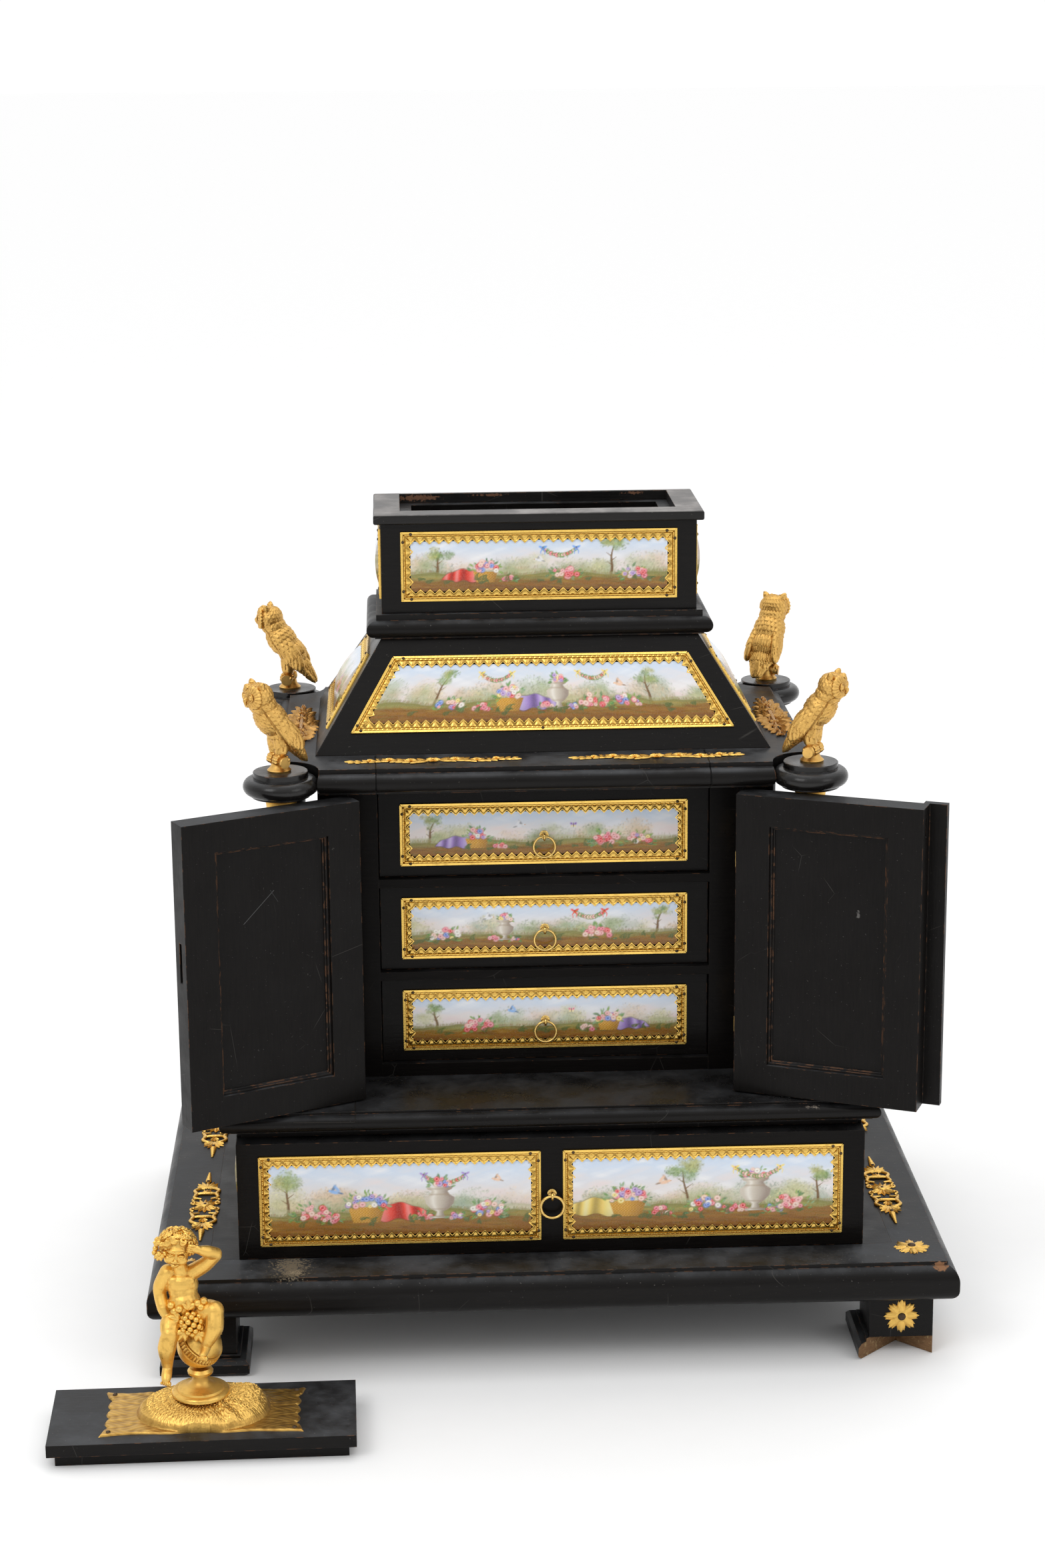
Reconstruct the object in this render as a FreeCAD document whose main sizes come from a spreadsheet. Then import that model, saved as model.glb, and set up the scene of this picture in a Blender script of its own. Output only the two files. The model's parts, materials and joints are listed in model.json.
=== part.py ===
"""Ebonised coin cabinet with enamel plaques and gilt brass mounts, in millimetres.

The origin lies on the floor under the centre of the cabinet. +Z is up, +X is right and the front
faces -Y. The doors stand open and the lid of the top box stands on the floor, as in the photograph.
"""
import FreeCAD, Part
import math
import os
import re
import Sketcher

SIZES = [
    # general clearances
    ("overrun", 4.0),
    ("seat_gap", 0.3),
    ("slide_gap", 0.5),
    # feet
    ("foot_width", 31.8),
    ("foot_height", 24.0),
    ("foot_inset_across", 21.1),
    ("foot_inset_along", 23.6),
    ("foot_pad_height", 9.4),
    ("foot_pad_ledge", 1.6),
    ("foot_pad_step", 1.6),
    ("foot_pad_round", 3.4),
    ("foot_pad_nose", 6.2),
    # base plate
    ("base_width", 389.0),
    ("base_depth", 282.0),
    ("base_thickness", 19.3),
    ("base_rail", 24.0),
    ("base_drop", 2.0),
    ("base_step", 0.8),
    ("base_nose", 5.5),
    ("base_nose_upper", 9.7),
    ("base_nose_lower", 13.7),
    ("base_underside", 2.0),
    # lower case
    ("case_width", 311.4),
    ("case_depth", 235.4),
    ("case_height", 62.1),
    ("case_side_thickness", 12.0),
    ("case_back_thickness", 8.0),
    ("base_front_thickness", 10.5),
    ("base_front_headroom", 1.1),
    ("base_tray_height", 48.0),
    ("base_tray_side", 7.0),
    ("base_tray_bottom", 4.0),
    ("base_tray_back_gap", 4.9),
    # slab between the storeys
    ("subboard_thickness", 3.7),
    ("subboard_setback", 2.6),
    ("slab_width", 316.0),
    ("slab_depth", 227.0),
    ("slab_thickness", 9.6),
    ("slab_drop", 1.4),
    ("slab_round", 3.8),
    ("slab_nose", 5.5),
    # upper carcass
    ("carcass_width", 224.0),
    ("carcass_depth", 168.0),
    ("carcass_height", 155.9),
    ("carcass_side", 15.0),
    ("carcass_back", 6.0),
    # nest of small drawers
    ("nest_setback", 19.8),
    ("nest_post", 14.0),
    ("nest_rail", 4.5),
    ("nest_rail_depth", 12.0),
    ("nest_bottom_rail", 6.8),
    ("nest_shelf", 3.0),
    ("nest_opening", 44.2),
    ("drawer_recess", 3.5),
    ("drawer_front_thickness", 8.0),
    ("drawer_tray_side", 5.0),
    ("drawer_tray_bottom", 2.5),
    ("drawer_tray_height", 36.0),
    ("drawer_tray_back_gap", 8.7),
    # doors
    ("door_width", 93.2),
    ("door_thickness", 12.5),
    ("door_round", 6.0),
    ("door_gap_below", 1.0),
    ("door_gap_above", 1.7),
    ("door_pin_across", 95.8),
    ("door_pin_along", 86.0),
    ("door_edge_gap", 1.6),
    ("door_face_gap", 0.8),
    ("door_stile", 17.0),
    ("door_rail", 15.2),
    ("door_panel_sink", 4.0),
    ("lock_height", 20.0),
    ("lock_width", 3.0),
    ("lock_depth", 9.0),
    ("lock_above_foot", 73.9),
    ("astragal_overlap", 8.6),
    ("astragal_width", 11.6),
    ("astragal_thickness", 4.5),
    ("left_door_angle", 153.8),
    ("right_door_angle", 157.0),
    ("hinge_pin_radius", 0.6),
    ("hinge_barrel_radius", 1.5),
    ("hinge_bore_gap", 0.05),
    ("hinge_leaf", 0.9),
    ("hinge_leaf_depth", 9.0),
    ("hinge_length", 24.0),
    ("hinge_from_end", 22.0),
    # columns
    ("column_across", 129.4),
    ("column_along", 91.3),
    ("column_radius", 6.2),
    ("column_base_height", 12.0),
    ("column_base_radius", 7.7),
    ("capital_height", 16.0),
    ("capital_radius", 7.7),
    ("capital_disc", 10.2),
    ("capital_disc_thickness", 1.4),
    # cornice
    ("cornice_width", 258.8),
    ("cornice_depth", 182.6),
    ("cornice_thickness", 12.4),
    ("cornice_drop", 2.4),
    ("cornice_step", 0.6),
    ("cornice_nose", 5.7),
    ("cornice_round", 4.5),
    ("ear_disc", 13.4),
    ("ear_drop", 3.0),
    ("ear_nose", 18.5),
    ("ear_round", 4.2),
    # roof
    ("roof_rise", 52.5),
    ("roof_foot_width", 226.2),
    ("roof_foot_depth", 127.4),
    ("roof_top_width", 159.0),
    ("roof_top_depth", 68.0),
    ("roof_panel", 8.0),
    # top box
    ("plinth_width", 163.6),
    ("plinth_depth", 68.0),
    ("plinth_height", 12.1),
    ("plinth_drop", 3.0),
    ("plinth_nose", 4.9),
    ("plinth_round", 4.2),
    ("box_width", 157.8),
    ("box_depth", 62.2),
    ("box_height", 45.3),
    ("box_side_wall", 15.9),
    ("box_front_wall", 15.6),
    ("box_back_wall", 6.1),
    ("box_ledge", 6.0),
    ("rim_thickness", 4.9),
    ("rim_overhang", 3.4),
    ("rim_drop", 1.2),
    # plaques and their brass strips
    ("strip_width", 5.0),
    ("strip_thickness", 1.5),
    ("strip_inner_thickness", 0.9),
    ("plaque_edge", 0.7),
    ("plaque_crown", 0.9),
    ("side_plaque_crown", 2.2),
    ("base_plaque_width", 139.6),
    ("base_plaque_height", 47.4),
    ("base_plaque_across", 75.2),
    ("base_plaque_above", 30.8),
    ("drawer_plaque_margin", 10.4),
    ("drawer_plaque_height", 32.2),
    ("box_plaque_margin", 9.8),
    ("box_plaque_height", 35.3),
    ("box_side_plaque_width", 46.0),
    ("box_plaque_above", 23.7),
    ("case_plaque_width", 180.0),
    ("case_plaque_height", 47.0),
    ("case_plaque_above", 30.8),
    ("roof_plaque_foot", 191.2),
    ("roof_plaque_top", 147.6),
    ("roof_plaque_below", 11.1),
    ("roof_plaque_height", 39.7),
    ("roof_side_plaque_foot", 92.0),
    ("roof_side_plaque_top", 50.0),
    ("door_plaque_width", 73.0),
    ("door_plaque_height", 122.0),
    ("door_plaque_across", 45.0),
    # ring pulls
    ("small_ring_radius", 5.3),
    ("small_ring_wire", 0.7),
    ("large_ring_radius", 5.6),
    ("large_ring_wire", 0.85),
    ("eye_radius", 1.7),
    ("eye_wire", 0.65),
    ("eye_reach", 4.2),
    ("eye_hole_gap", 0.2),
    ("small_eye_above", -1.0),
    ("base_eye_above", 31.4),
    # flat mounts
    ("rosette_radius", 8.75),
    ("rosette_thickness", 1.0),
    ("rosette_nail", 2.1),
    ("rosette_inset_across", 15.0),
    ("rosette_inset_along", 18.0),
    ("rosette_up", 20.6),
    ("spindle_inset", 17.9),
    ("spindle_along", 47.5),
    ("spindle_back_shift", 19.0),
    ("spindle_length", 91.0),
    ("spindle_half_width", 8.0),
    ("spindle_thickness", 1.5),
    ("garland_length", 86.0),
    ("garland_width", 10.0),
    ("garland_side_length", 81.0),
    ("garland_side_width", 11.5),
    ("garland_thickness", 1.4),
    ("garland_across", 55.0),
    ("garland_along", 78.0),
    ("garland_side_across", 121.5),
    # owls
    ("owl_height", 45.0),
    ("owl_head", 6.3),
    ("owl_reach", 11.5),
    ("owl_body_width", 7.4),
    ("owl_perch", 6.4),
    ("owl_tail_reach", 13.0),
    ("owl_front_left_turn", -60.0),
    ("owl_front_right_turn", 62.0),
    ("owl_back_left_turn", -100.0),
    ("owl_back_right_turn", 150.0),
    # lid and its figure
    ("lid_place_across", -170.0),
    ("lid_place_along", -202.0),
    ("lid_turn_angle", 1.0),
    ("lid_width", 144.0),
    ("lid_depth", 59.0),
    ("lid_thickness", 6.0),
    ("lid_plug_thickness", 6.0),
    ("lid_plug_gap", 0.6),
    ("pelt_width", 95.0),
    ("pelt_depth", 46.0),
    ("pelt_thickness", 1.2),
    ("pelt_lug", 5.0),
    ("pelt_mound_width", 78.0),
    ("pelt_mound_depth", 42.0),
    ("pelt_mound_height", 10.5),
    ("socle_radius", 13.6),
    ("socle_across", -0.9),
    ("socle_height", 4.0),
    ("socle_neck", 3.4),
    ("socle_neck_height", 9.0),
    ("ball_radius", 11.0),
    ("figure_head", 10.4),
    ("figure_body", 8.2),
    ("figure_limb", 3.1),
]

doc = FreeCAD.newDocument("CoinCabinet")
sheet = doc.addObject("Spreadsheet::Sheet", "Sizes")
for row, (alias, number) in enumerate(SIZES, start=1):
    sheet.set(f"A{row}", alias)
    sheet.set(f"B{row}", str(number))
    sheet.setAlias(f"B{row}", alias)
doc.recompute()
NAMES = {alias for alias, number in SIZES}
NODES = []

# heights of the storeys, each worked out from the sizes under it
FOOT_TOP = "(foot_pad_height + foot_height)"
PLATE_TOP = f"({FOOT_TOP} + base_thickness)"
CASE_TOP = f"({PLATE_TOP} + case_height)"
SLAB_FOOT = f"({CASE_TOP} + subboard_thickness)"
SLAB_TOP = f"({SLAB_FOOT} + slab_thickness)"
CORNICE_FOOT = f"({SLAB_TOP} + carcass_height)"
CORNICE_TOP = f"({CORNICE_FOOT} + cornice_thickness)"
ROOF_TOP = f"({CORNICE_TOP} + roof_rise)"
PLINTH_TOP = f"({ROOF_TOP} + plinth_height)"
BOX_TOP = f"({PLINTH_TOP} + box_height)"
RIM_TOP = f"({BOX_TOP} + rim_thickness)"
SHANK_HALF = "(eye_wire*0.8)"
FOOT_ACROSS = "(base_width/2 - foot_inset_across)"
FOOT_ALONG = "(base_depth/2 - foot_inset_along)"
SIDES = (("left", -1), ("right", 1))


def bound(expression):
    """Puts the sheet's name before each size that an expression names."""
    return re.sub(r"[a-z_]+", lambda word: f"Sizes.{word[0]}" if word[0] in NAMES else word[0], expression)


def value(expression):
    """What an expression of sizes comes to now."""
    return float(sheet.evalExpression(bound(f"({expression}) * 1")))


def node(piece, label):
    """Names a finished sub-part and lists it."""
    piece.Label = label
    NODES.append(piece)
    return piece


def locate(piece, x="0", y="0", z="0", turn=None, axis=(0, 0, 1)):
    """Binds a piece's place, and its turn about one axis where it has one."""
    if turn is not None:
        start = value(turn) or 1.0
        piece.Placement = FreeCAD.Placement(FreeCAD.Vector(), FreeCAD.Rotation(FreeCAD.Vector(*axis), start))
        piece.setExpression("Placement.Rotation.Angle", bound(turn))
    for letter, place in zip("xyz", (x, y, z)):
        piece.setExpression(f"Placement.Base.{letter}", bound(place))
    return piece


def box(name, x, y, z):
    """A board between two corners; x, y and z are each a pair of expressions, low and high."""
    piece = doc.addObject("Part::Box", name)
    for side, (low, high) in zip(("Length", "Width", "Height"), (x, y, z)):
        piece.setExpression(side, bound(f"({high}) - ({low})"))
    return locate(piece, x[0], y[0], z[0])


def across(sign, low, high):
    """The span from low to high on one side of the middle, in rising order."""
    return (low, high) if sign > 0 else (f"-({high})", f"-({low})")


def middle(half):
    """The span of a half size on both sides of the middle."""
    return (f"-({half})", half)


def rod(name, radius, length, x="0", y="0", z="0", turn=None, axis=(0, 0, 1)):
    """A round bar along its own Z."""
    piece = doc.addObject("Part::Cylinder", name)
    piece.setExpression("Radius", bound(radius))
    piece.setExpression("Height", bound(length))
    return locate(piece, x, y, z, turn, axis)


def prism(name, sides, radius, height, x="0", y="0", z="0", turn=None, axis=(0, 0, 1)):
    """A bar with a regular outline along its own Z."""
    piece = doc.addObject("Part::Prism", name)
    piece.Polygon = sides
    piece.setExpression("Circumradius", bound(radius))
    piece.setExpression("Height", bound(height))
    return locate(piece, x, y, z, turn, axis)


def skin(name, rings, endless=False):
    """A solid whose flat faces join one ring of points to the next; each ring is a list of vectors.

    Rings that run the wrong way round would face inwards, so they are turned round.
    """
    faces = []
    pairs = list(zip(rings, rings[1:]))
    if endless:
        pairs.append((rings[-1], rings[0]))
    else:
        faces.append(Part.Face(Part.makePolygon([*rings[0], rings[0][0]])))
        faces.append(Part.Face(Part.makePolygon([*rings[-1], rings[-1][0]])))
    for low, high in pairs:
        for index, point in enumerate(low):
            after = (index + 1) % len(low)
            faces.append(Part.Face(Part.makePolygon([point, low[after], high[after], point])))
            faces.append(Part.Face(Part.makePolygon([point, high[after], high[index], point])))
    solid = Part.Solid(Part.Shell(faces))
    if solid.Volume < 0:
        return skin(name, [ring[::-1] for ring in rings], endless)
    piece = doc.addObject("Part::Feature", name)
    piece.Shape = solid
    return piece


def stack(name, sides, stations):
    """A swelling body through level rings, each (x, y, z, half width, half depth) in expressions."""
    rings = []
    for station in stations:
        x, y, z, wide, deep = (value(size) for size in station)
        angles = [2 * math.pi * (step + 0.5) / sides for step in range(sides)]
        rings.append([FreeCAD.Vector(x + wide * math.cos(turn), y + deep * math.sin(turn), z)
                      for turn in angles])
    return skin(name, rings)


def rounds(name, sides, stations):
    """A small turned piece through level rings, each (z, radius) in expressions."""
    return stack(name, sides, [("0", "0", z, radius, radius) for z, radius in stations])


def hoop(name, radius, wire, steps, sides):
    """A round wire ring about the X axis, its wire and its round both faceted."""
    large, small = value(radius), value(wire)
    rings = []
    for step in range(steps):
        turn = 2 * math.pi * step / steps
        ring = []
        for side in range(sides):
            lean = 2 * math.pi * side / sides
            reach = large + small * math.cos(lean)
            ring.append(FreeCAD.Vector(small * math.sin(lean), reach * math.cos(turn),
                                       reach * math.sin(turn)))
        rings.append(ring)
    return skin(name, rings, True)


def wedge(name, near, far, depth, height):
    """A prism whose plan narrows from the span near to the span far over its depth."""
    piece = doc.addObject("Part::Wedge", name)
    spans = {"Xmin": near[0], "Xmax": near[1], "X2min": far[0], "X2max": far[1], "Ymin": depth[0],
             "Ymax": depth[1], "Zmin": height[0], "Zmax": height[1], "Z2min": height[0], "Z2max": height[1]}
    for side, size in spans.items():
        piece.setExpression(side, bound(size))
    return piece


def joined(kind, name, pieces):
    """A boolean of several pieces: MultiFuse or MultiCommon."""
    piece = doc.addObject(f"Part::{kind}", name)
    piece.Shapes = pieces
    return piece


def cut(name, base, *tools):
    """What is left of a piece when others are taken out of it."""
    for count, tool in enumerate(tools):
        piece = doc.addObject("Part::Cut", f"{name}{count}")
        piece.Base = base
        piece.Tool = tool
        base = piece
    return base


def group(name, pieces, x="0", y="0", z="0", turn=None, axis=(0, 0, 1)):
    """Separate solids held together and placed as one."""
    piece = doc.addObject("Part::Compound", name)
    piece.Links = pieces
    return locate(piece, x, y, z, turn, axis)


def arc_between(first, last, centre_height, clockwise):
    """The arc between two points whose centre lies at a given height."""
    rise = (centre_height - last[1]) ** 2 - (centre_height - first[1]) ** 2
    centre = (last[0] ** 2 - first[0] ** 2 + rise) / (2 * (last[0] - first[0]))
    middle_point = FreeCAD.Vector(centre, centre_height, 0)
    begin, end = (last, first) if clockwise else (first, last)
    angles = [math.atan2(point[1] - centre_height, point[0] - centre) for point in (begin, end)]
    if angles[1] < angles[0]:
        angles[1] += 2 * math.pi
    radius = math.dist(first, (centre, centre_height))
    return Part.ArcOfCircle(Part.Circle(middle_point, FreeCAD.Vector(0, 0, 1), radius), *angles)


def draw(sketch, points):
    """Draws a closed outline whose points and arc centres are bound to the sizes.

    A point is (x, y), or (x, y, kind, centre_y) where an arc leads to it from the point before:
    kind "round" turns clockwise and kind "cove" the other way.
    """
    places = [(value(point[0]), value(point[1])) for point in points]
    ends = []
    for index, point in enumerate(points):
        begin = places[index - 1]
        end = places[index]
        if len(point) == 4:
            clockwise = point[2] == "round"
            edge = sketch.addGeometry(arc_between(begin, end, value(point[3]), clockwise), False)
            ends.append((edge, 2, 1) if clockwise else (edge, 1, 2))
        else:
            line = Part.LineSegment(FreeCAD.Vector(*begin, 0), FreeCAD.Vector(*end, 0))
            ends.append((sketch.addGeometry(line, False), 1, 2))
    for index, point in enumerate(points):
        edge, begin, end = ends[index]
        after = ends[(index + 1) % len(points)]
        sketch.addConstraint(Sketcher.Constraint("Coincident", edge, end, after[0], after[1]))
        for kind, place, number in zip(("DistanceX", "DistanceY"), point[:2], places[index]):
            rule = sketch.addConstraint(Sketcher.Constraint(kind, -1, 1, edge, end, number))
            sketch.setExpression(f"Constraints[{rule}]", bound(place))
        if len(point) == 4:
            rule = sketch.addConstraint(Sketcher.Constraint("DistanceY", -1, 1, edge, 3, value(point[3])))
            sketch.setExpression(f"Constraints[{rule}]", bound(point[3]))


def outlined(name, plane, points):
    """A body with one outline drawn on one of its own planes."""
    body = doc.addObject("PartDesign::Body", name)
    sketch = body.newObject("Sketcher::SketchObject", f"{name}Outline")
    support = next(item for item in body.Origin.OriginFeatures if item.Role == plane)
    sketch.AttachmentSupport = [(support, "")]
    sketch.MapMode = "FlatFace"
    draw(sketch, points)
    return body, sketch


def padded(name, plane, points, length, offset=None):
    """An outline made solid, equally both ways, or upwards from an offset."""
    body, sketch = outlined(name, plane, points)
    pad = body.newObject("PartDesign::Pad", f"{name}Pad")
    pad.Profile = sketch
    pad.Midplane = offset is None
    pad.setExpression("Length", bound(length))
    if offset is not None:
        sketch.setExpression("AttachmentOffset.Base.z", bound(offset))
    return body


def turned(name, points):
    """A turned piece; its outline runs from the top of its axis out and down to the axis again."""
    body, sketch = outlined(name, "XZ_Plane", points)
    spin = body.newObject("PartDesign::Revolution", f"{name}Spin")
    spin.Profile = sketch
    spin.ReferenceAxis = (sketch, ["V_Axis"])
    spin.Angle = 360
    return body


def section(half, profile):
    """Both sides of a moulded board: its profile runs down the right edge and up the left one."""
    right = [(f"({half}) + ({point[0]})", *point[1:]) for point in profile]
    left = []
    for index in range(len(profile) - 1, -1, -1):
        place = (f"-({half}) - ({profile[index][0]})", profile[index][1])
        follows = profile[index + 1] if index + 1 < len(profile) else ()
        left.append(place + tuple(follows[2:]))
    return right + left


def moulded(name, half_width, half_depth, reach, profile):
    """A board with one moulding round its four edges, mitred at the corners."""
    wide = padded(f"{name}Across", "XZ_Plane", section(half_width, profile), f"2*({half_depth} + {reach})")
    deep = padded(f"{name}Along", "YZ_Plane", section(half_depth, profile), f"2*({half_width} + {reach})")
    return joined("MultiCommon", name, [wide, deep])


def nosed(top, drop, step, half_round, nose, foot):
    """A square edge over a half round nose, then straight down to the underside."""
    inner = f"({nose}) - ({half_round})"
    start = f"({top}) - ({drop})"
    centre = f"{start} - ({half_round})"
    points = [("0", top), ("0", start)]
    if step is not None:
        points += [(step, start)]
    points += [(inner, start), (nose, centre, "round", centre)]
    return points + [(inner, f"{centre} - ({half_round})", "round", centre), (inner, foot)]


def strip(name, length, start_mitre, end_mitre):
    """One brass strip lying along X in front of a wall, its outer edge down and its ends mitred."""
    piece = doc.addObject("Part::Wedge", name)
    spans = {"Xmin": "0", "Xmax": length, "X2min": start_mitre, "X2max": f"({length}) - ({end_mitre})",
             "Ymin": "0", "Ymax": "strip_width", "Zmin": "0", "Zmax": "strip_thickness",
             "Z2min": "0", "Z2max": "strip_inner_thickness"}
    for side, size in spans.items():
        piece.setExpression(side, bound(size))
    piece.Placement = FreeCAD.Placement(FreeCAD.Vector(), FreeCAD.Rotation(FreeCAD.Vector(1, 0, 0), 90))
    return piece


def strip_frame(name, foot, top, height, slope="0"):
    """Four mitred strips round a plaque that narrows from foot to top; it faces -Y about its centre."""
    lean = f"(({foot}) - ({top}))/2"
    side = f"sqrt(({lean})*({lean}) + ({height})*({height}))"
    foot_angle = f"(atan2({height}; {lean})/(1 deg))"
    foot_mitre = f"strip_width/tan({foot_angle}/2)"
    top_mitre = f"strip_width*tan({foot_angle}/2)"
    low = f"-({height})/2"
    high = f"({height})/2"
    corners = [
        (foot, foot_mitre, foot_mitre, f"-({foot})/2", low, "0"),
        (side, foot_mitre, top_mitre, f"({foot})/2", low, f"-(180 - {foot_angle})"),
        (top, top_mitre, top_mitre, f"({top})/2", high, "180"),
        (side, top_mitre, foot_mitre, f"-({top})/2", high, f"180 - {foot_angle}"),
    ]
    pieces = []
    for index, (length, start, end, x, z, turn) in enumerate(corners):
        piece = strip(f"{name}Strip{index}", length, start, end)
        pieces.append(group(f"{name}Side{index}", [piece], x=x, z=z, turn=turn, axis=(0, 1, 0)))
    return pieces


def plaque(name, foot, top, height, crown):
    """An enamel plaque inside its strips, crowned towards -Y; its back lies on the wall."""
    inside = f"(({height}) - 2*strip_width)"
    lean = f"(({foot}) - ({top}))/2"
    side_run = f"sqrt(({lean})*({lean}) + ({height})*({height}))"
    low_half = f"(({foot})/2 - strip_width*{side_run}/({height}) - strip_width*({lean})/({height}))"
    high_half = f"(({top})/2 - strip_width*{side_run}/({height}) + strip_width*({lean})/({height}))"
    plan = wedge(f"{name}Plan", middle(low_half), middle(high_half), ("0", inside),
                 ("0", f"plaque_edge + {crown}"))
    stood = group(f"{name}Stood", [plan], z=f"-{inside}/2", turn="90", axis=(1, 0, 0))
    radius = f"(({inside}*{inside}/4 + {crown}*{crown})/(2*{crown}))"
    curve = rod(f"{name}Curve", radius, f"({foot}) + 2*overrun", x=f"-({foot})/2 - overrun",
                y=f"{radius} - plaque_edge - {crown}", turn="90", axis=(0, 1, 0))
    return joined("MultiCommon", f"{name}Enamel", [stood, curve])


def seat(name, pieces, x="0", y="0", z="0", turn="0", tilt=None):
    """Puts what was made facing -Y on a wall: tilted back first where the wall leans."""
    if tilt is not None:
        pieces = [group(f"{name}Tilted", pieces, turn=tilt, axis=(1, 0, 0))]
    return group(name, pieces, x, y, z, turn)


def add_feet():
    """Four square blocks, and under each four mitred strips that meet at its centre."""
    half = "foot_width/2"
    step = "(foot_pad_height - foot_pad_step)"
    profile = [
        ("foot_pad_ledge", "foot_pad_height"),
        ("foot_pad_ledge", step),
        ("foot_pad_nose - foot_pad_round/2", step),
        ("foot_pad_nose", f"{step} - foot_pad_round/2"),
        ("foot_pad_nose", "foot_pad_round/2"),
        ("foot_pad_nose - foot_pad_round/2", "0"),
    ]
    whole = moulded("FootPad", half, half, "foot_pad_nose + overrun", profile)
    reach = "(foot_width + 2*foot_pad_nose)"
    strips = {}
    for name, turn in (("Front", "-135"), ("Right", "-45"), ("Back", "45"), ("Left", "135")):
        corner = box(f"FootSector{name}", ("0", reach), ("0", reach), ("0", "foot_pad_height"))
        turned_corner = group(f"FootMitre{name}", [corner], turn=turn)
        strips[name] = joined("MultiCommon", f"FootStrip{name}", [whole, turned_corner])
    flush = box("FootFlush", middle(half), middle(reach), ("0", "foot_pad_height"))
    broken = joined("MultiCommon", "FootStripBroken", [strips["Right"], flush])
    blocks = []
    pads = []
    for side, sign in SIDES:
        for end, way in (("Front", -1), ("Back", 1)):
            x = f"{sign}*{FOOT_ACROSS}"
            y = f"{way}*{FOOT_ALONG}"
            blocks.append(box(f"FootBlock{end}{side}", (f"{x} - {half}", f"{x} + {half}"),
                              (f"{y} - {half}", f"{y} + {half}"), ("foot_pad_height", FOOT_TOP)))
            kept = list(strips.values())
            if (end, side) == ("Front", "right"):
                kept = [strips["Left"], strips["Back"], broken]
            pads.append(group(f"FootPad{end}{side}", kept, x, y))
    node(group("FootBlocks", blocks), "foot_blocks")
    node(group("FootPads", pads), "foot_mouldings")


def add_base():
    """The wide base plate: a core board inside four mitred lengths of moulding."""
    half_width = "base_width/2"
    half_depth = "base_depth/2"
    profile = [
        ("0", PLATE_TOP),
        ("0", f"{PLATE_TOP} - base_drop"),
        ("base_step", f"{PLATE_TOP} - base_drop"),
        ("base_nose", f"{PLATE_TOP} - base_nose_upper", "round", f"{PLATE_TOP} - base_nose_upper"),
        ("base_nose", f"{PLATE_TOP} - base_nose_lower"),
        ("base_underside", FOOT_TOP, "round", f"{PLATE_TOP} - base_nose_lower"),
    ]
    whole = moulded("BasePlate", half_width, half_depth, "base_nose + overrun", profile)
    core_x = f"({half_width} - base_rail)"
    core_y = f"({half_depth} - base_rail)"
    core = box("BaseCore", middle(core_x), middle(core_y), (FOOT_TOP, PLATE_TOP))
    node(core, "base_board")
    ring = cut("BaseRing", whole, core)
    reach = "(base_nose + overrun)"
    sectors = []
    for name, turn in (("Front", "0"), ("Back", "180")):
        plan = wedge(f"BaseSector{name}", middle(f"{half_width} + {reach}"), middle(core_x),
                     (f"-({half_depth} + {reach})", f"-{core_y}"),
                     (f"{FOOT_TOP} - overrun", f"{PLATE_TOP} + overrun"))
        sectors.append(group(f"BaseMitre{name}", [plan], turn=turn))
    lengths = [joined("MultiCommon", f"BaseLength{index}", [ring, sector])
               for index, sector in enumerate(sectors)]
    node(group("BaseMoulding", [*lengths, cut("BaseEnds", ring, *sectors)]), "base_moulding")


def add_case():
    """The lower case that holds the wide drawer, and the slab on top of it."""
    half = "case_width/2"
    back = "case_depth/2"
    front = f"(-({back}) + base_front_thickness + seat_gap)"
    walls = [box(f"Case{side}", across(sign, f"{half} - case_side_thickness", half), (front, back),
                 (PLATE_TOP, CASE_TOP)) for side, sign in SIDES]
    node(group("CaseSides", walls), "case_sides")
    node(box("CaseBack", middle(f"{half} - case_side_thickness"), (f"{back} - case_back_thickness", back),
             (PLATE_TOP, CASE_TOP)), "case_back")
    node(box("SubBoard", middle(f"{half} - subboard_setback"), middle(f"slab_depth/2 - subboard_setback"),
             (CASE_TOP, SLAB_FOOT)), "sub_board")
    profile = nosed(SLAB_TOP, "slab_drop", None, "slab_round", "slab_nose", SLAB_FOOT)
    node(moulded("Slab", "slab_width/2", "slab_depth/2", "slab_nose + overrun", profile), "slab_board")


def add_carcass():
    """The upper carcass, and the posts, rails and dust boards that carry the small drawers."""
    half = "carcass_width/2"
    inner = f"({half} - carcass_side)"
    back = "carcass_depth/2"
    sides = [box(f"Carcass{side}", across(sign, inner, half), middle(back), (SLAB_TOP, CORNICE_FOOT))
             for side, sign in SIDES]
    node(group("CarcassSides", sides), "carcass_sides")
    node(box("CarcassBack", middle(inner), (f"{back} - carcass_back", back), (SLAB_TOP, CORNICE_FOOT)),
         "carcass_back")
    face = f"(nest_setback - {back})"
    rear = f"({back} - carcass_back)"
    opening = f"({inner} - nest_post)"
    pieces = [box(f"NestPost{side}", across(sign, opening, inner), (face, rear), (SLAB_TOP, CORNICE_FOOT))
              for side, sign in SIDES]
    levels = [(SLAB_TOP, f"{SLAB_TOP} + nest_bottom_rail")]
    for _ in range(2):
        foot = f"{levels[-1][1]} + nest_opening"
        levels.append((foot, f"{foot} + nest_rail"))
    levels.append((f"{levels[-1][1]} + nest_opening", CORNICE_FOOT))
    for index, level in enumerate(levels):
        pieces.append(box(f"NestRail{index}", middle(opening), (face, f"{face} + nest_rail_depth"), level))
    pieces += [box(f"NestShelf{index}", middle(opening), (f"{face} + nest_rail_depth", rear),
                   (f"{level[1]} - nest_shelf", level[1])) for index, level in enumerate(levels[:3])]
    node(group("NestFrame", pieces), "nest_frame")
    return [level[1] for level in levels[:3]]


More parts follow.
